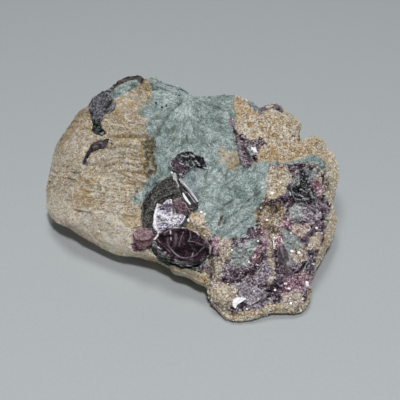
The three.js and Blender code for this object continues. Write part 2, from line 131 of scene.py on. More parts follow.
class Noise:
    """Repeatable noise fields, worked out from hashed lattice points."""

    PRIMES = (np.uint32(73856093), np.uint32(19349663), np.uint32(83492791))
    MIXER = np.uint32(1274126177)
    LAYER_SHIFT = np.array([31.0, 17.0, 7.0])
    CELL_SHIFT = np.array([13.0, 29.0, 5.0])

    @classmethod
    def lattice(cls, i: Array, j: Array, k: Array) -> Array:
        """Hashes whole-number lattice points.

        The hash is the xor of the indices times a prime each, in 32 bits, then mixed by two shifts
        and a multiplication.

        Args:
            i: first index.
            j: second index.
            k: third index.

        Returns:
            Random numbers from 0 to 1.
        """
        with np.errstate(over="ignore"):
            whole = (n.astype(np.int64).astype(np.uint32) for n in (i, j, k))
            a, b, c = (n * prime for n, prime in zip(whole, cls.PRIMES))
            h = a ^ b ^ c
            h = (h ^ (h >> np.uint32(13))) * cls.MIXER
            h = h ^ (h >> np.uint32(16))
        return h.astype(np.float64) / 2.0**32

    @classmethod
    def smooth(cls, p: Array, size: float, layer: float = 0.0) -> Array:
        """Blends random lattice values across each cell with 6t^5 - 15t^4 + 10t^3.

        Args:
            p: points, (..., 3).
            size: the lattice's pitch, in the points' units.
            layer: which field of the many; each is shifted by its own amount.

        Returns:
            Noise from -1 to 1, (...).
        """
        q = p / size + cls.LAYER_SHIFT * layer
        cell = np.floor(q)
        t = q - cell
        f = t * t * t * (t * (t * 6.0 - 15.0) + 10.0)
        total = np.zeros(p.shape[:-1])
        for corner in range(8):
            d = np.array([corner & 1, (corner >> 1) & 1, (corner >> 2) & 1])
            weight = np.prod(np.where(d == 1, f, 1.0 - f), axis=-1)
            c = cell + d
            total += weight * cls.lattice(c[..., 0], c[..., 1], c[..., 2])
        return 2.0 * total - 1.0

    @classmethod
    def fractal(cls, p: Array, size: float, octaves: int, layer: float = 0.0) -> Array:
        """Adds octaves of smooth noise, each at half the size and half the height of the last.

        Args:
            p: points, (..., 3).
            size: the first octave's pitch.
            octaves: how many there are.
            layer: which field of the many.

        Returns:
            Noise from -1 to 1, (...).
        """
        total = np.zeros(p.shape[:-1])
        for octave in range(octaves):
            total += cls.smooth(p, size / 2**octave, layer + octave) / 2**octave
        return total / (2.0 - 0.5 ** (octaves - 1))

    @classmethod
    def cells(cls, p: Array, size: float, layer: float = 0.0) -> tuple[Array, Array, Array, Array]:
        """Splits space into cells, each the points nearest to one jittered lattice point.

        Args:
            p: points, (..., 3).
            size: the cells' pitch.
            layer: which field of the many.

        Returns:
            Distance to the nearest centre and to the second nearest, in cell pitches, the offset
            from the nearest centre in the points' units, and three random numbers for the cell.
        """
        q = p / size + cls.CELL_SHIFT * layer
        base = np.floor(q)
        first = np.full(p.shape[:-1], 9.0)
        second = first.copy()
        offset = np.zeros_like(p)
        dice = np.zeros_like(p)
        for corner in range(27):
            c = base + np.array([corner % 3, corner // 3 % 3, corner // 9]) - 1.0
            r = np.stack(
                [cls.lattice(c[..., 0] + s, c[..., 1] - s, c[..., 2] + 2 * s) for s in (0, 911, 1823)],
                axis=-1,
            )
            away = q - (c + 0.15 + 0.7 * r)
            distance = np.linalg.norm(away, axis=-1)
            nearer = distance < first
            second = np.where(nearer, first, np.minimum(second, distance))
            first = np.where(nearer, distance, first)
            offset = np.where(nearer[..., None], away * size, offset)
            dice = np.where(nearer[..., None], r, dice)
        return first, second, offset, dice


def from_span(x: Array, y: Array, start: Place, end: Place) -> tuple[Array, Array]:
    """Measures from a straight span.

    Args:
        x: points across the sheet.
        y: points down the sheet.
        start: the span's start.
        end: its end.

    Returns:
        How far along the span each point lies, 0 at its start and 1 at its end, and its distance
        from the span's nearest point.
    """
    (ax, ay), (bx, by) = start, end
    along = ((x - ax) * (bx - ax) + (y - ay) * (by - ay)) / ((bx - ax) ** 2 + (by - ay) ** 2)
    t = np.clip(along, 0.0, 1.0)
    return along, np.hypot(x - ax - t * (bx - ax), y - ay - t * (by - ay))


def distance_to_line(x: Array, y: Array, line: Outline) -> Array:
    """Gives the distance from each point to the nearest point of a polyline.

    Args:
        x: points across the sheet.
        y: points down the sheet.
        line: the polyline.

    Returns:
        The distances, in squares.
    """
    best = np.full(np.shape(x), np.inf)
    for start, end in zip(line[:-1], line[1:]):
        best = np.minimum(best, from_span(x, y, start, end)[1])
    return best


def inside_distance(x: Array, y: Array, outline: Outline) -> Array:
    """Measures from a closed outline.

    A point is inside where a ray to its right crosses the outline an odd number of times.

    Args:
        x: points across the sheet.
        y: points down the sheet.
        outline: the outline.

    Returns:
        The distances, in squares, positive inside it and negative outside.
    """
    ring = (*outline, outline[0])
    odd = np.zeros(np.shape(x), bool)
    for (ax, ay), (bx, by) in zip(ring[:-1], ring[1:]):
        if ay != by:
            odd ^= ((ay > y) != (by > y)) & (x < (bx - ax) * (y - ay) / (by - ay) + ax)
    return np.where(odd, 1.0, -1.0) * distance_to_line(x, y, ring)


# ------------------------------------------------------------------ the layout sheet


@dataclass(frozen=True)
class LayoutSheet:
    """The sheet that the block is laid out on, and where it leans over the table.

    Attributes:
        square: the side of its squares, in millimetres.
        middle: the square that it is centred on, both ways.
        across: how many squares wide it is.
        eye: how far in front of its centre the lines of sight meet, in millimetres.
        lean: how far it is turned up from lying on its back.
        seat: its centre in the row frame.
    """

    square: float = 1.0 / 3.0
    middle: float = 200.0
    across: float = 400.0
    eye: float = 360.0
    lean: float = math.radians(50.0)
    seat: tuple[float, float, float] = (2.5, -7.0, 22.4)

    def uv(self, x: Array | float, y: Array | float) -> tuple[Array, Array]:
        """Gives u and v of a place on the sheet."""
        return (np.asarray(x) - self.middle) * self.square, (self.middle - np.asarray(y)) * self.square

    def xy(self, u: Array, v: Array) -> tuple[Array, Array]:
        """Gives the place on the sheet of u and v."""
        return self.middle + u / self.square, self.middle - v / self.square

    def covered(self, p: Array) -> tuple[Array, Array]:
        """Gives the place on the sheet that each face-frame point covers."""
        taper = 1.0 - p[:, 2] / self.eye
        return self.xy(p[:, 0] / taper, p[:, 1] / taper)

    def point(self, u: Array, v: Array, w: Array) -> Array:
        """Gives the face-frame point at w that covers u, v: (u t, v t, w), where t is 1 - w / eye."""
        taper = 1.0 - w / self.eye
        return np.stack([u * taper, v * taper, w], axis=-1)

    def axes(self) -> Array:
        """Gives the u, v and w directions in the row frame, as rows."""
        c, s = math.cos(self.lean), math.sin(self.lean)
        return np.array([[1.0, 0.0, 0.0], [0.0, c, s], [0.0, -s, c]])

    def to_row(self, p: Array) -> Array:
        """Moves face-frame points into the row frame."""
        return p @ self.axes() + np.array(self.seat)

    def to_face(self, p: Array) -> Array:
        """Moves row-frame points into the face frame."""
        return (p - np.array(self.seat)) @ self.axes().T

    def depth_at_height(self, v: Array, height: Array) -> Array:
        """Gives w where a line of sight crosses a level above the table."""
        c, s = math.cos(self.lean), math.sin(self.lean)
        return (height - self.seat[2] - v * s) / (c - v * s / self.eye)

    def depth_on_plane(self, u: Array, v: Array, normal: Array, through: Array) -> Array:
        """Gives w where the lines of sight cross a plane, so that normal . point = normal . through."""
        across = normal[0] * u + normal[1] * v
        return (normal @ through - across) / (normal[2] - across / self.eye)


SHEET = LayoutSheet()


# ------------------------------------------------------------------ meshes


def put_mesh(
    name: str, points: Array, faces: Faces, attributes: dict[str, Array] | None = None, smooth: bool = True
) -> bpy.types.Object:
    """Makes one object, at the origin, from row-frame points in millimetres.

    Args:
        name: the piece's name.
        points: (n, 3).
        faces: the points' numbers at each face's corners, (m, 3) or (m, 4).
        attributes: a value for each point, by name.
        smooth: whether its faces are shaded smooth.

    Returns:
        The new object, linked into the scene.
    """
    count, corners = faces.shape
    mesh = bpy.data.meshes.new(name)
    mesh.vertices.add(len(points))
    mesh.vertices.foreach_set("co", (points * MM).astype(np.float32).reshape(-1))
    mesh.loops.add(faces.size)
    mesh.loops.foreach_set("vertex_index", faces.reshape(-1).astype(np.int32))
    mesh.polygons.add(count)
    mesh.polygons.foreach_set("loop_start", np.arange(count, dtype=np.int32) * corners)
    mesh.polygons.foreach_set("use_smooth", np.full(count, smooth))
    for key, values in (attributes or {}).items():
        mesh.attributes.new(key, "FLOAT", "POINT").data.foreach_set("value", values.astype(np.float32))
    mesh.update(calc_edges=True)
    mesh.validate()
    piece = bpy.data.objects.new(name, mesh)
    bpy.context.collection.objects.link(piece)
    return piece


def point_normals(points: Array, faces: Faces) -> Array:
    """Gives each point's normal: the sum of its triangles' cross products, made unit length.

    Args:
        points: (n, 3).
        faces: triangles.

    Returns:
        The normals, (n, 3).
    """
    a, b, c = (points[faces[:, i]] for i in range(3))
    cross = np.cross(b - a, c - a)
    total = np.zeros_like(points)
    for i in range(3):
        for axis in range(3):
            total[:, axis] += np.bincount(faces[:, i], cross[:, axis], len(points))
    return unit(total)


# ------------------------------------------------------------------ node graphs


BUMP_HEIGHT = 0.0002


class Graph:
    """A thin wrapper that places and links shader nodes."""

    def __init__(self, tree: bpy.types.NodeTree) -> None:
        """Keeps the tree that the nodes go in."""
        self.tree = tree

    def feed(self, socket: Socket, value: object) -> None:
        """Fills an input.

        Args:
            socket: the input.
            value: another node's socket, to link to it, or a plain value to set it to.
        """
        if isinstance(value, Socket):
            self.tree.links.new(value, socket)
        else:
            socket.default_value = value

    def add(self, kind: str, inputs: dict[str | int, object] | None = None, **settings: object) -> Node:
        """Adds a node.

        Args:
            kind: the node's type, without its ShaderNode prefix.
            inputs: a value or a socket to link for each named or numbered input.
            settings: the node's own properties.

        Returns:
            The node.
        """
        node = self.tree.nodes.new("ShaderNode" + kind)
        for key, value in settings.items():
            setattr(node, key, value)
        for key, value in (inputs or {}).items():
            self.feed(node.inputs[key], value)
        return node

    def attribute(self, name: str) -> Socket:
        """Reads a number stored on the mesh."""
        return self.add("Attribute", attribute_name=name).outputs["Fac"]

    def maths(self, operation: str, a: object, b: object = 0.0) -> Socket:
        """Gives one arithmetic operation on two numbers."""
        return self.add("Math", {0: a, 1: b}, operation=operation).outputs[0]

    def ramp(self, value: Socket, low: float, high: float) -> Socket:
        """Gives 0 below low and 1 above high, with a straight line between."""
        return self.add("MapRange", {"Value": value, "From Min": low, "From Max": high}).outputs["Result"]

    def mix(self, factor: object, a: object, b: object) -> Socket:
        """Mixes two colours by a factor."""
        return self.add("Mix", {0: factor, 6: a, 7: b}, data_type="RGBA").outputs[2]

    def noise(self, scale: object, detail: float, roughness: float = 0.5) -> Socket:
        """Gives noise that is fixed to the object.

        Args:
            scale: how many lumps there are to a metre.
            detail: how many octaves of finer noise are added.
            roughness: each octave's height as a share of the last one's.

        Returns:
            The noise, from 0 to 1.
        """
        place = self.add("TexCoord").outputs["Object"]
        inputs = {"Vector": place, "Scale": scale, "Detail": detail, "Roughness": roughness}
        return self.add("TexNoise", inputs).outputs["Fac"]

    def group(self, tree: bpy.types.NodeTree, inputs: dict[str, object]) -> Socket:
        """Places a node group and gives its only output."""
        return self.add("Group", inputs, node_tree=tree).outputs[0]


class Effects:
    """Node groups that several materials share, each built the first time it is asked for."""

    GREY = (0.5, 0.5, 0.5, 1.0)

    @staticmethod
    def start(name: str, takes: dict[str, object], gives: str) -> tuple[Graph, dict[str, Socket], Socket]:
        """Starts a group with its named sockets.

        Args:
            name: the group's name.
            takes: each input's default: a number, or a colour.
            gives: the output's name, Color or Height.

        Returns:
            The group's graph, the sockets that its inputs come in by, and the one it gives out.
        """
        tree = bpy.data.node_groups.new(name, "ShaderNodeTree")
        for key, value in takes.items():
            kind = "NodeSocketColor" if isinstance(value, tuple) else "NodeSocketFloat"
            tree.interface.new_socket(key, in_out="INPUT", socket_type=kind).default_value = value
        kind = "NodeSocketColor" if gives == "Color" else "NodeSocketFloat"
        tree.interface.new_socket(gives, in_out="OUTPUT", socket_type=kind)
        given, out = tree.nodes.new("NodeGroupInput"), tree.nodes.new("NodeGroupOutput")
        return Graph(tree), {key: given.outputs[key] for key in takes}, out.inputs[gives]

    @classmethod
    @cache
    def mineral(cls) -> bpy.types.NodeTree:
        """Colours a mineral: fine noise is added to its tone, and the sum runs from dark to light.

        Returns:
            The group.
        """
        takes = {"Dark": cls.GREY, "Middle": cls.GREY, "Light": cls.GREY,
                 "Tone": 0.5, "Grain Scale": 1500.0, "Grain": 0.5}
        graph, given, out = cls.start("mineral", takes, "Color")
        noise = graph.noise(given["Grain Scale"], 3.0, 0.7)
        grain = graph.maths("MULTIPLY", graph.maths("SUBTRACT", noise, 0.5), given["Grain"])
        tone = graph.maths("ADD", given["Tone"], grain)
        low = graph.mix(graph.ramp(tone, 0.0, 0.5), given["Dark"], given["Middle"])
        graph.feed(out, graph.mix(graph.ramp(tone, 0.5, 1.0), low, given["Light"]))
        return graph.tree

    @classmethod
    @cache
    def fine_bump(cls) -> bpy.types.NodeTree:
        """Gives the height of fine roughness: noise, and the distances within small cells.

        Returns:
            The group.
        """
        graph, given, out = cls.start("fine_bump", {"Scale": 1800.0}, "Height")
        place = graph.add("TexCoord").outputs["Object"]
        cells = graph.add("TexVoronoi", {"Vector": place, "Scale": given["Scale"]}).outputs["Distance"]
        noise = graph.noise(given["Scale"], 4.0)
        graph.feed(out, graph.maths("ADD", noise, graph.maths("MULTIPLY", cells, 0.5)))
        return graph.tree

    @classmethod
    @cache
    def weather(cls) -> bpy.types.NodeTree:
        """Weathers a colour: warm above 0 turns it ochre, below 0 chalky.

        Returns:
            The group.
        """
        takes = {"Color": cls.GREY, "Ochre": cls.GREY, "Chalk": cls.GREY, "Warm": 0.0}
        graph, given, out = cls.start("weather", takes, "Color")
        ochre = graph.mix(graph.ramp(given["Warm"], 0.1, 1.5), given["Color"], given["Ochre"])
        graph.feed(out, graph.mix(graph.ramp(given["Warm"], -0.1, -1.4), ochre, given["Chalk"]))
        return graph.tree


@dataclass(frozen=True)
class Weather:
    """The colours that stone weathers to."""

    ochre: Colour = (182, 151, 104)
    chalk: Colour = (206, 201, 196)

    def apply(self, graph: Graph, colour: Socket) -> Socket:
        """Weathers a colour by the mesh's warm attribute.

        Args:
            graph: the material's graph.
            colour: the fresh colour.

        Returns:
            The weathered colour.
        """
        inputs = {"Color": colour, "Warm": graph.attribute("warm"),
                  "Ochre": to_linear(self.ochre), "Chalk": to_linear(self.chalk)}
        return graph.group(Effects.weather(), inputs)


def new_material(
    name: str, values: dict[str, float], bumps: tuple[float, float] | None = None
) -> tuple[bpy.types.Material, Graph, Node]:
    """Makes a material with everything but its colour.

    Args:
        name: the material's name.
        values: numbers for its shader's own sockets.
        bumps: how many fine bumps there are to a metre and how strong they are, if it has any.

    Returns:
        The material, its graph and its shader.
    """
    material = bpy.data.materials.new(name)
    material.use_nodes = True
    graph, shader = Graph(material.node_tree), material.node_tree.nodes["Principled BSDF"]
    for key, value in values.items():
        shader.inputs[key].default_value = value
    if bumps:
        height = graph.group(Effects.fine_bump(), {"Scale": bumps[0]})
        inputs = {"Strength": bumps[1], "Distance": BUMP_HEIGHT, "Height": height}
        graph.feed(shader.inputs["Normal"], graph.add("Bump", inputs).outputs["Normal"])
    return material, graph, shader


# ------------------------------------------------------------------ minerals


@dataclass(frozen=True)
class Fans:
    """The hubs that the green mica's fibres run out from, and the row between their two parts."""

    upper: Place = (190.0, 96.0)
    lower: Place = (176.0, 268.0)
    row: float = 166.0

    def rays(self, x: Array, y: Array) -> Array:
        """Gives the fibres' directions, in the face frame, at places on the sheet."""
        hub_x, hub_y = (np.where(y < self.row, a, b) for a, b in zip(self.upper, self.lower))
        return unit(np.stack([x - hub_x, hub_y - y, np.zeros(len(x))], -1))


FANS = Fans()


class Habit(Enum):
    """The ways that minerals break, each with its own relief."""

    LAYERED = "layered"
    SUGARY = "sugary"
    FIBROUS = "fibrous"
    FLAKY = "flaky"

    def relief(self, p: Array, x: Array, y: Array) -> tuple[Array, Array]:
        """Gives this habit's relief.

        Args:
            p: face-frame points.
            x: their places on the sheet.
            y: the same, down the sheet.

        Returns:
            Relief in millimetres, and tone.
        """
        match self:
            case Habit.LAYERED:
                return self.layered(p)
            case Habit.SUGARY:
                return self.sugary(p)
            case Habit.FIBROUS:
                return self.fibrous(p, x, y)
        return self.flaky(p)

    @staticmethod
    def layered(p: Array) -> tuple[Array, Array]:
        """Makes thin ledges that run nearly level, stepped like split wood.

        A saw wave of the distance up the face, warped by noise, makes the ledges, and the tone
        darkens just below each step, painted shade under the ledge above. Noise drawn out across
        the face streaks them, and cells between them make grains.

        Args:
            p: face-frame points.

        Returns:
            Relief in millimetres, and tone.
        """
        q = p * np.array([0.22, 1.0, 1.0])
        wander = Noise.fractal(q, 6.0, 3, 21)
        strength = smoothstep(Noise.smooth(p, 9.0, 23) + 0.3 + 0.02 * (p[:, 0] + 25), -0.4, 0.5)
        strength *= smoothstep(p[:, 1] + 3.0 * wander, -7.0, 4.0)
        relief, tone = np.zeros(len(p)), np.zeros(len(p))
        for pitch, high in ((2.3, 0.34), (1.05, 0.17)):
            across = (p[:, 1] + 0.16 * p[:, 0] + 1.6 * wander) / pitch
            saw = across - np.floor(across)
            dice = Noise.lattice(np.floor(across), np.floor(p[:, 0] / 9.0 + wander), np.full(len(p), 7.0))
            relief += high * strength * (0.4 + dice) * (0.5 - saw)
            # painted shade: the tone darkens just below each step, under the ledge above
            tone += strength * (0.2 * (dice - 0.5) - 0.44 * smoothstep(saw, 0.78, 0.98))
        streak = Noise.fractal(q * np.array([0.6, 1.0, 1.0]), 0.7, 3, 25)
        rough = Noise.fractal(p, 2.0, 4, 27)
        near, far, _, dice = Noise.cells(p * np.array([0.8, 1.2, 1.0]), 0.95, 29)
        grain = np.clip((far - near) * 2.0, 0.0, 1.0) * (1.1 - strength)
        fleck = smoothstep(Noise.fractal(p, 1.0, 2, 28), 0.3, 0.55)
        relief += 0.14 * streak * strength + 0.3 * rough + 0.14 * grain
        tone += 0.3 * streak * (0.12 + strength) + 0.2 * rough + 0.4 * fleck
        return relief, 0.5 + tone + 0.1 * grain + 0.22 * (1.15 - strength) * (dice[..., 1] - 0.5)

    @staticmethod
    def sugary(p: Array) -> tuple[Array, Array]:
        """Makes rounded grains of two sizes with pits between them.

        A grain is the difference of the distances to the two nearest cell centres, cut off at 1,
        so it falls to 0 at its border.

        Args:
            p: face-frame points.

        Returns:
            Relief in millimetres, and tone.
        """
        relief, tone = np.zeros(len(p)), np.full(len(p), -0.08)
        for size, share in ((1.35, 1.0), (0.75, 0.5)):
            near, far, _, dice = Noise.cells(p * np.array([1.0, 1.25, 1.0]), size, 3)
            grain = np.clip((far - near) * 2.6, 0.0, 1.0)
            relief += share * (0.26 * grain + 0.34 * (dice[..., 0] - 0.5))
            tone += share * (0.5 * grain + 0.4 * (dice[..., 1] - 0.5))
        rough = Noise.fractal(p, 2.8, 3, 31)
        return relief + 0.5 * rough - 0.2, tone + 0.28 * rough

    @staticmethod
    def fibrous(p: Array, x: Array, y: Array) -> tuple[Array, Array]:
        """Makes fibres that fan out from the two hubs, over tilted facets.

        A fibre runs along the ray from its hub, so noise is read at the ray's angle and the
        distance along it, drawn out by five.

        Args:
            p: face-frame points.
            x: their places on the sheet.
            y: the same, down the sheet.

        Returns:
            Relief in millimetres, and tone.
        """
        relief, tone = np.zeros(len(p)), np.zeros(len(p))
        low = smoothstep(y - FANS.row + 0.06 * (x - 200.0) + 6.0 * Noise.smooth(p, 5.0, 42), -3.0, 3.0)
        for (hub_x, hub_y), share in ((FANS.upper, 1.0 - low), (FANS.lower, low)):
            away_x, away_y = (x - hub_x) * SHEET.square, (y - hub_y) * SHEET.square
            radius = np.hypot(away_x, away_y) + 2.0
            angle = np.arctan2(away_y, away_x) + Noise.fractal(p, 8.0, 3, 41) * 0.3
            streak = Noise.fractal(np.stack([angle * 22.0, radius / 5.0, p[:, 2] / 5.0], axis=-1), 1.0, 3, 43)
            ridge = 1.0 - 2.0 * np.abs(streak)
            relief += share * (0.4 * ridge - 0.15 + 0.25 * streak)
            tone += share * (0.55 * ridge + 0.5 * streak - 0.2)
        _, _, offset, dice = Noise.cells(p * np.array([1.0, 0.7, 1.0]), 3.6, 5)
        tilt = np.einsum("ij,ij->i", offset, dice - 0.5)
        rough = Noise.fractal(p, 1.7, 4, 45)
        fleck = smoothstep(Noise.fractal(p, 0.8, 2, 47), 0.22, 0.5)
        relief += 0.42 * tilt + 0.4 * rough
        return relief, 0.36 + 0.56 * tone + 0.24 * rough + 0.16 * (dice[..., 2] - 0.5) + 0.2 * fleck

    @staticmethod
    def flaky(p: Array) -> tuple[Array, Array]:
        """Makes small facets of three sizes, each at its own height and tilt.

        A facet's tilt is the offset from its cell's centre along a random direction.

        Args:
            p: face-frame points.

        Returns:
            Relief in millimetres, and tone.
        """
        relief, tone = np.zeros(len(p)), np.full(len(p), 0.42)
        for size, high, shade in ((3.6, 0.7, 0.4), (1.5, 0.45, 0.5), (0.8, 0.2, 0.8)):
            _, _, offset, dice = Noise.cells(p, size, size)
            relief += high * (dice[..., 0] - 0.5) + 0.7 * np.einsum("ij,ij->i", offset, dice - 0.5)
            tone += shade * (dice[..., 1] - 0.5)
        return relief + 0.15 * Noise.fractal(p, 1.0, 2, 51), tone


@dataclass(frozen=True)
class Mineral:
    """A mineral's own colours and grain.

    Attributes:
        dark: colour of its hollows, sRGB.
        middle: its usual colour.
        light: colour of its bright grains.
        grain_scale: how many grains there are to a metre.
        grain: how much the fine grain changes the tone.
        habit: how it breaks.
    """

    dark: Colour
    middle: Colour
    light: Colour
    grain_scale: float
    grain: float
    habit: Habit = Habit.FLAKY

    def colour(self, graph: Graph, tone: Socket) -> Socket:
        """Places the mineral group with these colours.

        Args:
            graph: the material's graph.
            tone: how light the mineral is at each place.

        Returns:
            The colour.
        """
        colours = {"Dark": self.dark, "Middle": self.middle, "Light": self.light}
        inputs = {key: to_linear(colour) for key, colour in colours.items()}
        inputs |= {"Tone": tone, "Grain Scale": self.grain_scale, "Grain": self.grain}
        return graph.group(Effects.mineral(), inputs)


class Rock(Enum):
    """What the block is made of."""

    FELDSPAR = Mineral((92, 76, 54), (167, 155, 133), (224, 216, 202), 1700.0, 2.8, Habit.LAYERED)
    GRANULAR = Mineral((128, 94, 56), (206, 198, 178), (240, 235, 224), 1700.0, 3.0, Habit.SUGARY)
    GREEN = Mineral((78, 96, 92), (141, 157, 156), (214, 227, 227), 1900.0, 1.9, Habit.FIBROUS)
    SAGE = Mineral((88, 96, 95), (146, 156, 155), (216, 224, 224), 2100.0, 1.3, Habit.FIBROUS)
    PURPLE = Mineral((34, 16, 28), (106, 81, 98), (208, 199, 214), 2300.0, 2.9)
    PALE = Mineral((112, 88, 74), (196, 188, 174), (242, 238, 233), 1900.0, 3.0, Habit.SUGARY)
    RUST = Mineral((46, 30, 10), (130, 111, 84), (216, 205, 192), 2000.0, 3.4)
    TAN = Mineral((122, 110, 86), (172, 160, 136), (208, 200, 180), 1700.0, 1.8, Habit.LAYERED)
    STAIN = Mineral((118, 92, 62), (176, 156, 126), (216, 200, 174), 1600.0, 1.8, Habit.LAYERED)
    ROSE = Mineral((72, 36, 52), (140, 102, 120), (228, 206, 216), 2300.0, 2.4)
    LILAC = Mineral((70, 58, 72), (128, 118, 130), (212, 206, 214), 2200.0, 2.2)
    OLIVE = Mineral((46, 40, 22), (116, 108, 88), (172, 168, 154), 1800.0, 2.0)
    OCHRE = Mineral((94, 70, 30), (160, 136, 88), (212, 194, 154), 1700.0, 2.0, Habit.LAYERED)
    DARK = Mineral((22, 17, 18), (58, 49, 52), (108, 98, 100), 1500.0, 1.4)
    BLUE = Mineral((84, 98, 103), (143, 157, 163), (208, 220, 227), 1900.0, 1.7, Habit.FIBROUS)


@dataclass(frozen=True)
class Patch:
    """A mineral's patch of the display face.

    Attributes:
        rock: what it is made of.
        outline: its outline on the sheet, in squares.
        ragged: how far its edge wanders, in squares.
        soft: how wide its edge fades, in squares.
        size: the size of the edge's wandering, in millimetres.
    """

    OVERSHOOT = 1.6

    rock: Rock
    outline: Outline
    ragged: float = 3.0
    soft: float = 2.0
    size: float = 3.0

    def weight(self, x: Array, y: Array, p: Array) -> Array:
        """Gives 1 inside the patch and 0 outside it, with its ragged edge between.

        The distance inside the outline, moved by noise, is ramped over the soft width.

        Args:
            x: places across the sheet.
            y: places down the sheet.
            p: the same points in the face frame.

        Returns:
            The weights.
        """
        inside = inside_distance(x, y, self.outline)
        near = np.abs(inside) < 3.0 * self.ragged + self.soft
        wander = np.zeros_like(inside)
        layer = 3.0 + len(self.outline)
        wander[near] = Noise.fractal(p[near], self.size, 3, layer) * self.ragged * self.OVERSHOOT
        return smoothstep(inside + wander, -self.soft / 2, self.soft / 2)


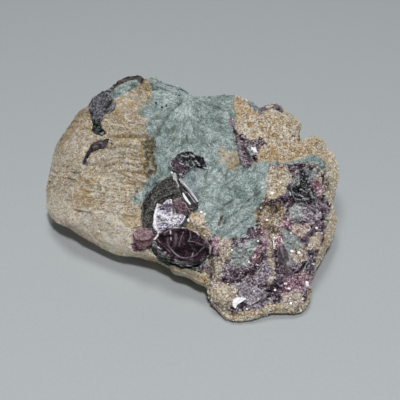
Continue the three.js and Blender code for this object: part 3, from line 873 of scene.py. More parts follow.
PATCHES: tuple[Patch, ...] = (
    Patch(Rock.GRANULAR, ((232, 60), (234, 110), (238, 132), (232, 150), (226, 168), (252, 167), (262, 180),
        (250, 240), (205, 262), (150, 262), (160, 280), (205, 300), (205, 360), (400, 360), (400, 60)), 2.0,
        1.5),
    Patch(Rock.TAN, ((152, 262), (166, 266), (186, 268), (207, 284), (212, 300), (200, 296), (180, 286)),
        1.0, 2.0),
    Patch(Rock.GREEN, ((147, 60), (151, 92), (146, 101), (139, 110), (141, 117), (146, 121), (147, 131),
        (150, 136), (153, 150), (151, 165), (147, 176), (140, 189), (131, 196), (134, 203), (146, 203),
        (160, 190), (172, 178), (186, 192), (198, 210), (203, 222), (212, 236), (226, 241), (236, 236),
        (246, 238), (256, 228), (262, 214), (264, 200), (269, 187), (272, 172), (281, 162), (262, 162),
        (243, 164), (238, 150), (236, 132), (235, 114), (232, 92), (232, 60)), 2.2, 1.2),
    Patch(Rock.PURPLE, ((274, 166), (300, 164), (318, 167), (325, 178), (325, 192), (330, 208), (324, 222),
        (320, 240), (317, 256), (311, 272), (309, 290), (305, 301), (290, 304), (270, 303), (250, 311),
        (232, 313), (220, 306), (222, 296), (214, 285), (209, 272), (207, 258), (206, 240), (214, 236),
        (226, 240), (238, 238), (250, 233), (258, 224), (262, 205), (268, 195), (272, 180)), 2.6, 1.6, 2.2),
    Patch(Rock.LILAC, ((232, 286), (246, 282), (262, 288), (272, 292), (262, 301), (250, 308), (238, 303)),
        1.6, 1.5),
    Patch(Rock.LILAC, ((255, 274), (263, 262), (273, 262), (275, 270), (268, 282), (257, 286)), 1.2, 1.2),
    Patch(Rock.LILAC, ((288, 208), (300, 204), (314, 206), (322, 213), (321, 221), (306, 224), (290, 220)),
        1.4, 1.4),
    Patch(Rock.ROSE, ((285, 276), (298, 272), (311, 276), (308, 288), (296, 292), (284, 290)), 1.6, 1.6),
    Patch(Rock.ROSE, ((271, 228), (280, 226), (284, 238), (283, 250), (274, 250), (270, 240)), 1.6, 1.6),
    Patch(Rock.ROSE, ((246, 240), (256, 236), (262, 246), (258, 262), (248, 258)), 1.8, 2.0),
    Patch(Rock.ROSE, ((308, 180), (317, 177), (324, 184), (323, 196), (316, 200), (309, 192)), 1.4, 1.6),
    Patch(Rock.ROSE, ((278, 214), (288, 214), (292, 226), (288, 234), (280, 230)), 1.6, 1.8),
    Patch(Rock.ROSE, ((212, 238), (220, 238), (224, 248), (216, 254), (209, 248)), 1.4, 1.6),
    Patch(Rock.DARK, ((277, 244), (288, 244), (292, 258), (288, 266), (278, 264)), 1.2, 1.4),
    Patch(Rock.PALE, ((266, 176), (272, 167), (288, 165), (292, 174), (289, 190), (279, 198), (267, 200)),
        2.6, 3.0),
    Patch(Rock.PALE, ((208, 292), (209, 284), (222, 281), (236, 290), (238, 297), (232, 304), (229, 315),
        (214, 308)), 2.2, 2.4, 2.0),
    Patch(Rock.PALE, ((283, 294), (298, 291), (306, 298), (299, 309), (286, 309), (281, 303)), 2.0, 2.0,
        2.0),
    Patch(Rock.PALE, ((208, 257), (218, 256), (225, 266), (220, 280), (211, 284)), 2.4, 2.4, 2.0),
    Patch(Rock.PALE, ((219, 239), (228, 237), (233, 246), (231, 257), (222, 262), (217, 250)), 2.0, 2.0,
        2.0),
    Patch(Rock.PALE, ((288, 246), (300, 243), (307, 250), (306, 262), (296, 265), (288, 257)), 2.2, 2.4,
        2.0),
    Patch(Rock.PALE, ((292, 225), (306, 223), (311, 229), (304, 238), (293, 235)), 1.4, 1.6, 2.0),
    Patch(Rock.PALE, ((312, 168), (322, 168), (324, 182), (316, 182)), 1.8, 2.4, 2.0),
    Patch(Rock.RUST, ((257, 212), (262, 203), (273, 202), (286, 205), (284, 216), (278, 224), (276, 240),
        (273, 252), (275, 266), (269, 284), (266, 270), (266, 252), (262, 238), (256, 226)), 2.6, 2.6, 2.0),
    Patch(Rock.PALE, ((269, 246), (274, 250), (277, 268), (274, 280), (269, 284), (268, 264)), 2.0, 2.4,
        2.0),
    Patch(Rock.ROSE, ((262, 228), (268, 232), (268, 250), (262, 246)), 2.0, 2.4, 2.0),
    Patch(Rock.PALE, ((184, 207), (196, 206), (203, 213), (206, 223), (213, 236), (206, 241), (198, 228),
        (186, 223)), 1.2, 1.4, 2.0),
    Patch(Rock.GRANULAR, ((189, 210), (197, 208.5), (202, 215), (204.5, 226), (209, 237), (203, 237),
        (197, 225), (189, 220)), 2.2, 1.4, 1.6),
    Patch(Rock.GRANULAR, ((269, 178), (275, 169), (286, 168), (288, 177), (285, 188), (276, 197),
        (269, 196)), 3.0, 4.0, 1.6),
    Patch(Rock.GRANULAR, ((211, 290), (222, 285), (231, 291), (232, 298), (226, 304), (214, 302)), 3.0, 4.0,
        1.6),
    Patch(Rock.BLUE, ((180, 173), (188, 166), (199, 168), (200, 182), (200, 200), (197, 207), (187, 190)),
        1.0, 3.0),
    Patch(Rock.STAIN, ((60, 146), (66, 128), (76, 114), (83, 110), (78, 124), (70, 138), (63, 156)), 3.0,
        6.0),
    Patch(Rock.GREEN, ((272, 164.5), (285, 161), (300, 157), (313, 154), (323, 158), (328, 167), (327, 176),
        (323, 168), (314, 164), (300, 163.5), (285, 164.5)), 1.0, 1.0),
    Patch(Rock.SAGE, ((229, 263), (232, 252), (239, 244), (250, 240), (262, 237), (257, 246), (252, 256),
        (247, 265), (238, 268)), 2.0, 2.4),
    Patch(Rock.SAGE, ((279, 226), (289, 231), (305, 244), (298, 249), (291, 247), (292, 268), (288, 266),
        (285, 245)), 1.4, 1.2),
    Patch(Rock.SAGE, ((289, 206), (299, 204), (302, 212), (300, 219), (291, 219)), 2.0, 3.0),
    Patch(Rock.SAGE, ((293, 180), (300, 176), (303, 182), (298, 189), (292, 188)), 1.6, 2.0),
    Patch(Rock.SAGE, ((307, 170), (317, 170), (316, 177), (308, 180)), 1.6, 2.0),
    Patch(Rock.SAGE, ((262, 266), (272, 262), (273, 272), (264, 275)), 1.6, 2.0),
    Patch(Rock.DARK, ((92, 100), (97, 94), (107, 88), (112, 83), (121, 76), (136, 72), (145, 77), (143, 83),
        (122, 84), (113, 92), (108, 100)), 0.6, 0.8),
    Patch(Rock.GREEN, ((109, 97), (113, 91), (120, 84.5), (127, 81), (131, 80.5), (136, 78.5), (141, 83),
        (133, 88.5), (122, 95), (115, 99)), 0.8, 1.0),
    Patch(Rock.GREEN, ((246, 96), (258, 104), (264, 110), (256, 111), (249, 105)), 1.0, 1.2),
    Patch(Rock.TAN, ((219, 151), (228, 154), (238, 157), (241, 165), (231, 167), (223, 161)), 5.0, 12.0,
        1.6),
    Patch(Rock.STAIN, ((72, 190), (84, 187), (94, 191), (92, 201), (82, 204), (73, 199)), 4.0, 9.0),
    Patch(Rock.OCHRE, ((145, 82), (149, 87), (150.5, 97), (148, 104), (147, 94)), 0.8, 1.2),
    Patch(Rock.OCHRE, ((112, 134.5), (122, 134), (140, 135.5), (146, 139), (130, 138), (120, 136.5)), 1.4,
        2.0, 1.6),
    Patch(Rock.OCHRE, ((86, 179), (94, 180), (100, 182), (90, 182.5)), 1.0, 2.0),
    Patch(Rock.OCHRE, ((115, 107), (117.5, 108), (117, 115), (115, 114)), 1.0, 2.5),
    Patch(Rock.RUST, ((324, 180), (329, 178), (329, 189), (323, 200), (321, 194)), 1.6, 4.0),
    Patch(Rock.PALE, ((309, 238), (318, 236), (318, 250), (308, 250)), 2.2, 3.0),
    Patch(Rock.OLIVE, ((142, 141), (153, 136), (156, 141), (152, 150), (153, 158), (154, 168), (149, 176),
        (146, 166), (144, 152), (141, 147)), 1.4, 1.4),
    Patch(Rock.OCHRE, ((139, 144), (142, 142), (144, 152), (146, 166), (148, 176), (144, 168), (141, 152)),
        1.2, 2.0),
    Patch(Rock.PURPLE, ((233, 128), (239, 132), (246, 142), (262, 140), (265, 144), (258, 150), (257, 162),
        (250, 167), (243, 165), (237, 146)), 1.4, 1.6),
    Patch(Rock.ROSE, ((230, 117), (234, 119), (235, 126), (231, 125)), 0.6, 1.0),
    Patch(Rock.ROSE, ((148, 227), (156, 228), (155, 240), (146, 250), (134, 252), (131, 244), (140, 240)),
        1.6, 2.0),
    Patch(Rock.DARK, ((217, 226), (221, 216), (224, 214), (222, 222), (219, 228)), 0.5, 1.0),
)
"""The patches, each over the ones before it. What none of them covers is feldspar."""


@dataclass(frozen=True)
class Crack:
    """A dark line in the block: its line on the sheet, its width and depth in millimetres."""

    line: Outline
    width: float = 0.4
    depth: float = 0.5
    shade: float = 0.8


CRACKS: tuple[Crack, ...] = (
    Crack(((74, 210), (82, 211), (90, 213)), 0.25, 0.4, 0.7),
    Crack(((108, 134), (122, 135), (135, 134), (149, 137)), 0.45, 0.7, 0.6),
    Crack(((84, 163), (88, 155), (93, 149), (98, 145)), 0.6, 0.9, 1.0),
    Crack(((116, 177), (126, 178), (137, 182), (149, 185)), 0.3, 0.4, 0.75),
    *(Crack(line, 0.27, 0.45, 0.62) for line in (
        ((107, 147), (124, 146), (144, 149)),
        ((104, 153), (126, 152), (145, 155)),
        ((101, 159), (121, 157), (144, 160)),
        ((105, 165), (126, 163), (147, 167)),
        ((110, 171), (129, 170), (149, 174)),
    )),
    Crack(((109, 138), (108, 150), (110, 166)), 0.25, 0.3, 0.3),
    Crack(((100, 158), (88, 165), (72, 174), (58, 182)), 0.3, 0.3, 0.12),
    # Painted shade: the dark line along the foot of the front book's stack.
    Crack(((170, 264), (184, 271), (199, 279)), 0.35, 0.6, 0.5),
    Crack(((182, 112), (172, 132), (166, 152)), 0.3, 0.4, 0.3),
    Crack(((190, 118), (203, 138), (213, 160)), 0.3, 0.4, 0.3),
    Crack(((180, 101), (170, 108), (164, 120), (157, 131), (151, 137)), 0.6, 0.9, 0.7),
    Crack(((236, 128), (237, 140), (240, 152), (245, 164)), 0.35, 0.6, 0.5),
    Crack(((226, 169), (234, 166), (246, 164)), 0.35, 0.5, 0.6),
    Crack(((227, 170), (225, 178)), 0.4, 0.5, 0.7),
    Crack(((213, 258), (213, 270), (212, 282), (210, 292)), 0.45, 0.9, 0.8),
    Crack(((239, 275), (250, 272), (264, 267)), 0.4, 0.7, 0.9),
    Crack(((268, 285), (280, 280), (292, 271)), 0.5, 0.8, 0.9),
    Crack(((253, 305), (262, 300), (272, 295)), 0.4, 0.6, 0.8),
    Crack(((304, 239), (311, 230), (319, 220)), 0.5, 0.7, 0.8),
    Crack(((299, 272), (304, 264), (310, 256)), 0.4, 0.6, 0.9),
    Crack(((216, 278), (226, 284), (232, 282)), 0.4, 0.6, 0.8),
    Crack(((270, 214), (277, 210), (283, 206)), 0.4, 0.7, 0.8),
    Crack(((262, 214), (262, 208), (267, 205)), 0.35, 0.6, 0.8),
    Crack(((208, 268), (212, 290), (210, 302)), 0.4, 0.5, 0.6),
    Crack(((300, 132), (299, 140)), 0.5, 0.7, 0.9),
    Crack(((277, 161), (283, 163), (286, 162)), 0.35, 0.5, 0.8),
)


@dataclass(frozen=True)
class Ledge:
    """A split edge: the side to the left of its line stands up and falls away from the line.

    Attributes:
        line: its line on the sheet.
        height: how high the edge stands, in millimetres.
        fade: how far behind the edge the rise dies away, in millimetres.
    """

    SHADE_OFF, SHADE_WIDTH, SHADE_GAIN = 0.15, 0.3, 1.3

    line: Outline
    height: float
    fade: float = 2.5

    def rise(self, x: Array, y: Array) -> tuple[Array, Array]:
        """Raises the one side and shades the other.

        The rise is height exp(-distance / fade). Neither reaches farther past an end of a span
        than a quarter of its length.

        Args:
            x: places across the sheet.
            y: places down the sheet.

        Returns:
            The rise in millimetres, and the painted shade under the edge from 0 to 1.
        """
        side = np.zeros(np.shape(x))
        best = np.full(np.shape(x), np.inf)
        for (ax, ay), (bx, by) in zip(self.line[:-1], self.line[1:]):
            along, away = from_span(x, y, (ax, ay), (bx, by))
            cross = (bx - ax) * (ay - y) - (by - ay) * (ax - x)
            nearer = away < best
            side = np.where(nearer, np.sign(cross) * (np.abs(along - 0.5) < 0.75), side)
            best = np.where(nearer, away, best)
        distance = best * SHEET.square
        up = np.where(side > 0, np.exp(-distance / self.fade), 0.0)
        under = np.where(side < 0, bell(distance - self.SHADE_OFF, self.SHADE_WIDTH), 0.0)
        return self.height * up, under * min(1.0, self.height * self.SHADE_GAIN)


LEDGES: tuple[Ledge, ...] = (
    Ledge(((109, 134), (122, 135), (134, 134), (148, 137)), 0.9),
    Ledge(((107, 120), (125, 121), (142, 120)), 0.4, 1.5),
    Ledge(((111, 127), (130, 129), (147, 127)), 0.4, 1.5),
    Ledge(((110, 142), (122, 145), (136, 146), (145, 146)), 0.5, 1.5),
    Ledge(((106, 150), (120, 152), (134, 155), (144, 156)), 0.45, 1.5),
    Ledge(((90, 164), (100, 162), (116, 163), (130, 164), (146, 167)), 0.6),
    Ledge(((110, 168), (124, 174), (136, 180), (149, 183)), 0.7, 2.0),
    Ledge(((108, 176), (125, 181), (141, 187)), 0.4, 1.5),
    Ledge(((80, 178), (90, 182), (104, 184), (120, 186), (136, 189)), 0.35, 2.0),
    Ledge(((62, 196), (80, 199), (102, 204)), 0.4, 1.5),
    Ledge(((70, 209), (80, 211), (92, 213.5)), 0.35, 2.0),
    Ledge(((96, 190), (112, 195), (130, 199)), 0.35, 1.5),
    Ledge(((98, 209), (118, 213), (136, 216)), 0.4, 1.5),
    Ledge(((86, 221), (108, 227), (130, 232)), 0.12, 1.5),
    Ledge(((120, 95), (132, 97), (145, 100)), 0.35, 1.2),
    Ledge(((114, 108), (130, 110), (143, 111)), 0.4, 1.2),
    Ledge(((112, 114), (130, 115), (143, 116)), 0.25, 1.0),
    Ledge(((100, 240), (116, 243), (130, 246)), 0.12, 1.5),
    Ledge(((84, 113), (73, 124), (64, 137), (58, 151), (55, 168)), 0.7, 2.5),
    Ledge(((110, 131), (108, 146), (100, 154), (86, 164), (70, 174), (54, 185)), -0.9, 4.0),
    Ledge(((165, 266), (176, 268), (188, 272), (204, 280)), 0.7, 1.5),
    Ledge(((168, 270), (178, 276), (190, 279), (200, 284)), 0.5, 1.0),
    Ledge(((226, 168), (240, 166), (252, 164), (271, 162), (288, 160)), -0.8, 1.6),
    Ledge(((284, 160), (300, 156), (314, 153), (326, 160)), -0.8, 1.5),
    Ledge(((313, 165), (321, 167), (328, 166)), 0.35, 1.2),
    Ledge(((183, 119), (181, 127), (176, 134), (171, 141), (169, 150), (165, 156)), 0.5, 1.5),
    Ledge(((192, 124), (199, 133), (206, 141), (213, 151)), 0.5, 1.2),
    Ledge(((170, 103), (180, 101), (186, 95)), 0.4, 1.2),
    Ledge(((196, 98), (206, 104), (220, 106), (232, 110)), 0.4, 1.2),
    Ledge(((196, 116), (210, 118), (228, 118)), 0.3, 1.2),
    Ledge(((216, 232), (228, 219), (240, 208), (252, 198), (262, 190)), 0.5, 1.5),
    Ledge(((206, 222), (216, 212), (226, 204), (236, 196)), 0.4, 1.2),
    Ledge(((222, 236), (236, 226), (250, 216), (260, 205)), 0.5, 1.5),
    Ledge(((214, 160), (222, 166), (224, 178)), 0.4, 1.2),
    Ledge(((240, 139), (262, 139), (280, 137), (298, 136)), 0.45, 2.0),
)

TONE_SPOTS_AND_PAINTED_LIGHT: tuple[tuple[float, float, float, float, float], ...] = (
    (168, 90, 14, 0.34, 0.0), (189, 113, 13, 0.2, 0.0), (124, 88, 8, 0.2, 0.0), (212, 107, 12, -0.12, 0.0),
    (114, 236, 14, 0.24, -0.6), (116, 244, 9, 0.3, -0.4), (196, 217, 9, 0.2, 0.0),
    (242, 253, 9, -0.22, 0.0), (324, 246, 10, 0.8, 0.7), (277, 183, 11, 0.1, -0.3), (320, 234, 6, 0.0, 0.8),
    (152, 168, 10, -0.06, 0.0), (202, 231, 6, -0.35, -0.2), (244, 138, 7, 0.2, 0.0),
)
# Places, radii in squares, and what each adds to the block's tone and warmth there. The spots at 168, 90 and
# 324, 246 are painted light on faces that turn away from the light.
"""Places, radii in squares, and what each adds to the block's tone and warmth there."""

RUST_SPOTS: tuple[tuple[float, float, float], ...] = (
    (273, 151, 3.0), (251, 122, 1.6), (247, 117, 1.4), (262, 126, 1.5), (274, 122, 1.4), (269, 134, 1.6),
    (285, 142, 1.8), (291, 147, 1.6), (318, 143, 1.8), (311, 150, 1.5), (283, 118, 1.3), (256, 133, 1.5),
    (298, 152, 1.4), (119, 135, 1.6), (131, 105, 1.3), (87, 181, 1.8), (140, 92, 1.3), (124, 118, 1.2),
    (331, 170, 1.6), (264, 306, 1.8), (321, 240, 1.8),
)
"""Places and sizes of the rusty pits, in squares."""


# ------------------------------------------------------------------ the block


@dataclass(frozen=True)
class Facet:
    """A facet of the display face: a place on the sheet, w there, and its rise along u and v."""

    at: Place
    w: float
    along_u: float
    along_v: float

    def depth(self, u: Array, v: Array) -> Array:
        """Gives w of the facet over u, v."""
        u0, v0 = SHEET.uv(*self.at)
        return self.w + self.along_u * (u - u0) + self.along_v * (v - v0)


@dataclass(frozen=True)
class UnderFacet:
    """A facet of the underside: a point on it, its azimuth, and degrees that it faces down."""

    through: tuple[float, float, float]
    azimuth: float
    down: float

    def depth(self, u: Array, v: Array) -> Array:
        """Gives w where the lines of sight cross the facet.

        Args:
            u: the lines' places on the sheet.
            v: the same, up the sheet.

        Returns:
            The depths.
        """
        turn, dip = math.radians(self.azimuth), math.radians(self.down)
        row = np.array([math.cos(dip) * math.cos(turn), math.cos(dip) * math.sin(turn), -math.sin(dip)])
        foot = np.array([SHEET.seat[0], SHEET.seat[1], 0.0]) + np.array(self.through)
        return SHEET.depth_on_plane(u, v, SHEET.axes() @ row, SHEET.to_face(foot))


@dataclass
class Block:
    """The pegmatite block: one closed surface, a fine grid on its face and a coarser one beneath.

    The grids are squares wrapped onto discs: ring = max(|a|, |b|) says how far a point is from the
    hub to the rim, and the place round the square says how far round the rim.

    Attributes:
        cells: squares along each side of the face's grid, twice as many as of the underside's.
        hub: the place on the sheet that the grids spread from.
        crowding: above 1, the grids' lines crowd towards the rim.
        under_bevel: how far in the underside is rounded, in millimetres.
        ridge_rounding: how wide the face's ridges are rounded.
        under_rounding: how wide the underside's edges are rounded.
        lump_margin: how far in from the rim the lumps reach their full height.
        rim: places on the sheet, the rim's height above the table, and how far in the face is
            rounded there.
        facets: the display face's facets, of which the lowest one counts.
        under: the underside's facets, of which the highest one counts.
        creases: lines on the sheet, their width and depth in millimetres.
        lumps: size and height of the noise that swells the whole.
        points: the finished points, in the row frame.
        normals: their normals.
        areas: how much room each leaves for crumbs.
        fibres: the direction that long crumbs lie in.
        sheet: the places on the sheet of the display face's points.
        warm: how warm each point's weathering is, with a painted warm tint along the feldspar's foot.
        tone: how light each point is.
        weights: each mineral's share of each point.
    """

    CURVE_STEPS = 40
    BANK_SLOPE, BANK_WIDTH = 1.2, 5.0
    RIM_RELIEF, RIM_WIDTH = 0.35, 2.0
    PIT_DEPTH, PIT_TONE, PIT_WARMTH = 0.3, 0.9, 1.2
    # how much the cracks' darkening and the painted ledge shade lower the tone, and the painted ledge shade's
    # strength
    CRACK_TONE, LEDGE_SHADE = 0.8, 0.55
    CRUMBS_ABOVE, CRUMBS_UNDER = 0.4, 0.5
    FELDSPAR_GRAIN = (1.0, -0.15, 0.0)

    cells: int = 264
    hub: tuple[float, float] = (195.0, 200.0)
    crowding: float = 1.3
    under_bevel: float = 9.0
    ridge_rounding: float = 0.7
    under_rounding: float = 3.0
    lump_margin: float = 7.0
    rim: tuple[tuple[float, float, float, float], ...] = (
        (136, 76, 40, 4), (122, 79, 39, 4), (108, 89.5, 36, 5), (97.5, 94.5, 34, 6), (88, 106, 30, 8),
        (79.5, 111.5, 28, 9), (68.5, 126.5, 24, 10), (62, 135.5, 21.5, 11), (56, 147, 19, 11),
        (50, 171, 15, 11), (47, 188, 13, 10), (46.8, 204, 11, 7), (48.8, 214, 9.5, 5), (57.5, 223, 8.5, 4),
        (69, 227.8, 8.3, 4), (80, 235.3, 8, 3.5), (92, 242.2, 7.5, 3.5), (105, 249.4, 7, 3.5),
        (119.5, 255.4, 6.5, 3.5), (134, 256.6, 7, 3), (147, 259.4, 6.5, 3), (160, 263, 5.5, 4),
        (168, 266, 5, 3), (174, 273.5, 4.5, 2.5), (187, 277.2, 4.5, 2.5), (196.5, 282.8, 4, 2.5),
        (204, 286.4, 3.5, 2.5), (208.5, 291, 3, 3), (210.5, 301.2, 2, 3), (221.5, 315, 1.4, 3),
        (230, 319.8, 1.2, 3), (240, 321.4, 1.2, 3), (256, 318.4, 1.4, 3), (268, 314, 1.6, 2.5),
        (283.5, 312.8, 1.4, 3), (299, 312.8, 1.4, 4), (307.6, 304.8, 2, 4), (310.6, 293, 2.5, 4),
        (310.8, 281, 3.4, 4), (315, 271.5, 4, 5), (321.5, 258, 5, 5), (328.4, 246, 6.5, 5),
        (333.4, 234, 8, 5), (336, 218, 10, 5), (333, 203, 13, 5), (336.8, 185, 15, 6), (338.4, 172, 17, 7),
        (334, 155.5, 20, 7), (327, 149.5, 21, 7), (323, 141.3, 22, 7), (316, 136.8, 23, 6),
        (306.8, 138.6, 24, 5), (301.8, 139.6, 25, 5), (299.8, 133, 26, 5), (300.4, 124.6, 27, 6),
        (295.4, 117.8, 28, 6), (287, 112.6, 29, 6), (281.6, 106.6, 30, 6), (273.5, 103.9, 30, 6),
        (266, 106.5, 30.5, 5), (260.8, 109, 31, 5), (252.3, 103, 32, 5), (243.7, 98.7, 33, 5),
        (235, 95.4, 34, 5), (214.5, 96.2, 35, 6), (195.5, 97, 36, 6), (183, 89.4, 38, 5), (174, 86, 39, 5),
        (164, 83, 40, 5), (155, 78.6, 41, 4), (148.6, 78.8, 41, 4), (142, 79, 40.5, 4),
    )
    facets: tuple[Facet, ...] = (
        Facet((148, 190), 4, 0.2, -0.55),
        Facet((200, 200), 6, 0.07, -0.496),
        Facet((270, 160), 1, 0.01, -1.1),
        Facet((270, 160), 1, -0.1, -0.243),
        Facet((100, 216), 5.4, 0.6, 0.6),
        Facet((70, 150), -8.6, 1.0, -0.3),
        Facet((322, 200), 2.1, -1.2, -0.2),
    )
    under: tuple[UnderFacet, ...] = (
        UnderFacet((0, 0, -1.6), 0, 90),
        UnderFacet((0, 43, 26), 91, 8),
        UnderFacet((-43, 34, 24), 137, 26),
        UnderFacet((-51, 8, 10), 184, 60),
        UnderFacet((-32, -7, 7), 228, 62),
        UnderFacet((46, 5, 10), -8, 46),
        UnderFacet((40, 32, 23), 40, 26),
    )
    creases: tuple[tuple[Outline, float, float], ...] = (
        (((214, 158), (238, 154), (270, 150), (300, 145)), 3.6, 2.0),
        (((150, 136), (149, 150), (152, 170)), 1.7, 2.4),
        (((170, 104), (158, 122), (151, 136)), 1.3, 0.8),
        (((213, 258), (212, 275), (209, 289)), 1.6, 1.8),
        (((262, 206), (270, 212), (283, 205)), 2.0, 1.4),
        (((212, 168), (240, 167), (271, 163), (300, 158), (322, 163)), 1.6, -0.9),
        (((172, 268), (186, 272), (203, 282)), 1.8, -1.6),
        (((228, 300), (250, 296), (290, 296)), 7.0, -1.8),
        (((146, 92), (140, 112), (144, 128), (140, 150), (146, 176)), 3.4, -1.2),
        (((82, 163), (90, 151), (104, 143)), 1.5, 1.4),
    )
    lumps: tuple[tuple[float, float], ...] = ((17.0, 1.5), (7.5, 0.75))
    points: Array = field(init=False)
    normals: Array = field(init=False)
    areas: Array = field(init=False)
    fibres: Array = field(init=False)
    sheet: Array = field(init=False)
    warm: Array = field(init=False)
    tone: Array = field(init=False)
    weights: dict[Rock, Array] = field(init=False)

    def rim_curve(self, share: Array) -> tuple[Array, Array, Array, Array]:
        """Follows the rim, a closed Catmull-Rom curve through its points, by arc length.

        On each span the curve is the cubic with the end points p1, p2 and slopes (p2 - p0) / 2 and
        (p3 - p1) / 2.

        Args:
            share: how far round the rim, from 0 to 1.

        Returns:
            u, v, w and the bevel's width there.
        """
        t = np.arange(self.CURVE_STEPS)[None, :, None] / self.CURVE_STEPS
        p0, p1, p2, p3 = (np.roll(np.array(self.rim), k, axis=0)[:, None, :] for k in (1, 0, -1, -2))
        s1, s2 = (p2 - p0) / 2, (p3 - p1) / 2
        curve = (
            p1 * (2 * t**3 - 3 * t**2 + 1) + p2 * (3 * t**2 - 2 * t**3)
            + s1 * (t**3 - 2 * t**2 + t) + s2 * (t**3 - t**2)
        )
        curve[..., 3] = (p1 + (p2 - p1) * t)[..., 3]
        curve = curve.reshape(-1, 4)
        closed = np.vstack([curve, curve[:1]])
        length = np.concatenate([[0], np.cumsum(np.linalg.norm(np.diff(closed[:, :3], axis=0), axis=1))])
        x, y, height, bevel = (np.interp(share * length[-1], length, closed[:, i]) for i in range(4))
        u, v = SHEET.uv(x, y)
        return u, v, SHEET.depth_at_height(v, height), bevel

    def face_depth(self, u: Array, v: Array) -> Array:
        """Gives the display face's depth: its facets, less each crease's depth bell(distance, width).

        Args:
            u: places across the face.
            v: places up the face.

        Returns:
            The depths.
        """
        depth = soft_extreme([facet.depth(u, v) for facet in self.facets], self.ridge_rounding, 1.0)
        for crease, width, deep in self.creases:
            depth = depth - deep * bell(distance_to_line(*SHEET.xy(u, v), crease) * SHEET.square, width)
        return depth

    def square_grid(self, cells: int, is_face: bool) -> tuple[Array, Array, Array, Array]:
        """Lays one grid over the outline.

        The way in from the rim is 1 - (1 - ring)^crowding, and the bevel is a quarter ellipse:
        w = rim + (facet - rim) sqrt(1 - (1 - distance / bevel)^2).

        Args:
            cells: squares along each side.
            is_face: whether this is the display face, or the underside.

        Returns:
            Face-frame points, sheet x and y, and distances in from the rim.
        """
        line = np.linspace(-1.0, 1.0, cells + 1)
        a, b = np.meshgrid(line, line)
        ring = np.maximum(np.abs(a), np.abs(b))
        scale = np.maximum(ring, 1e-9)
        a, b = a / scale, b / scale
        sides = [b >= np.abs(a), -a >= np.abs(b), -b >= np.abs(a)]
        share = np.select(sides, [(1 - a) / 8, (3 - b) / 8, (5 + a) / 8], (7 + b) / 8) % 1.0
        rim_u, rim_v, rim_w, bevel = self.rim_curve(share)
        hub_u, hub_v = SHEET.uv(*self.hub)
        way = 1.0 - (1.0 - ring) ** self.crowding
        u, v = lerp(hub_u, rim_u, way), lerp(hub_v, rim_v, way)
        inward = np.hypot(rim_u - u, rim_v - v)
        x, y = SHEET.xy(u, v)
        if is_face:
            depth = self.face_depth(u, v)
        else:
            depth = soft_extreme([facet.depth(u, v) for facet in self.under], self.under_rounding, -1.0)
            bevel = np.full_like(bevel, self.under_bevel)
        w = lerp(rim_w, depth, np.sqrt(1.0 - np.maximum(0.0, 1.0 - inward / bevel) ** 2))
        if is_face:
            w = np.where(inward > 0, self.sink_under_books(w, u, v, x, y), w)
        return SHEET.point(u, v, w), x, y, inward

    @classmethod
    def sink_under_books(cls, w: Array, u: Array, v: Array, x: Array, y: Array) -> Array:
        """Lowers the face to the foot of each plate's exposed edge, with sloping banks round it.

        Args:
            w: the face's depths.
            u: places across the face.
            v: places up the face.
            x: the same places across the sheet.
            y: the same places down the sheet.

        Returns:
            The lowered depths.
        """
        for plate in (plate for _, plates in BOOKS.values() for plate in plates if plate.exposed > 0):
            outside = np.maximum(0.0, -inside_distance(x, y, plate.outline)) * SHEET.square
            floor = plate.plane_depth(u, v) - plate.exposed + cls.BANK_SLOPE * outside
            w = np.where(outside < cls.BANK_WIDTH, np.minimum(w, floor), w)
        return w

    @staticmethod
    def rock_weights(x: Array, y: Array, p: Array) -> dict[Rock, Array]:
        """Gives each mineral's share of each point, the patches laid over one another in order.

        Args:
            x: places across the sheet.
            y: places down the sheet.
            p: the same points in the face frame.

        Returns:
            The shares, which add up to 1.
        """
        weights = {rock: np.zeros_like(x) for rock in Rock}
        weights[Rock.FELDSPAR][:] = 1.0
        for patch in PATCHES:
            cover = patch.weight(x, y, p)
            for rock in Rock:
                weights[rock] *= 1.0 - cover
            weights[patch.rock] += cover
        return weights

    @staticmethod
    def relief(p: Array, x: Array, y: Array, weights: dict[Rock, Array]) -> tuple[Array, Array, Array]:
        """Adds up every mineral's relief and tone by its share, and sinks the pits and cracks.

        The tone also rises along the feldspar's foot and left end and the granular right end; at the
        foot and the right end this is painted light that lifts faces turned away from the light. Pits
        and cracks are sunk by their depth times bell(distance, width).

        Args:
            p: face-frame points.
            x: their places on the sheet.
            y: the same, down the sheet.
            weights: each mineral's share.

        Returns:
            Relief in millimetres, tone, and how dark the cracks make each point.
        """
        kinds = {habit: habit.relief(p, x, y) for habit in Habit}
        relief, tone = (sum(weights[rock] * kinds[rock.value.habit][i] for rock in Rock) for i in range(2))
        for spot_x, spot_y, radius in RUST_SPOTS:
            pit = bell(np.hypot(x - spot_x, y - spot_y), radius)
            relief, tone = relief - Block.PIT_DEPTH * pit, tone - Block.PIT_TONE * pit
        # Painted light: the two ramps along the feldspar's foot and the one at the granular right end lift
        # faces that turn away from the light; the ramp at the feldspar's left end raises the tone too.
        foot = y - 0.45 * x
        for rock, rising, way, low, high in (
            (Rock.FELDSPAR, 0.26, foot, 165.0, 192.0), (Rock.GRANULAR, 0.35, x, 316.0, 332.0),
            (Rock.FELDSPAR, 0.2, x, 86.0, 62.0), (Rock.FELDSPAR, 0.55, foot, 184.0, 197.0),
        ):
            tone = tone + rising * weights[rock] * smoothstep(way, low, high)
        # Tone spots; the ones at 168, 90 and 324, 246 are painted light on faces that turn away from the
        # light.
        for spot_x, spot_y, radius, lighter, _ in TONE_SPOTS_AND_PAINTED_LIGHT:
            tone = tone + lighter * bell(np.hypot(x - spot_x, y - spot_y), radius)
        dark = np.zeros(len(p))
        wander = Noise.fractal(p, 2.0, 3, 61) * 1.6
        for crack in CRACKS:
            cut = bell(distance_to_line(x + wander, y + wander, crack.line) * SHEET.square, crack.width)
            relief = relief - crack.depth * cut
            dark = np.maximum(dark, crack.shade * cut)
        return relief, tone, dark

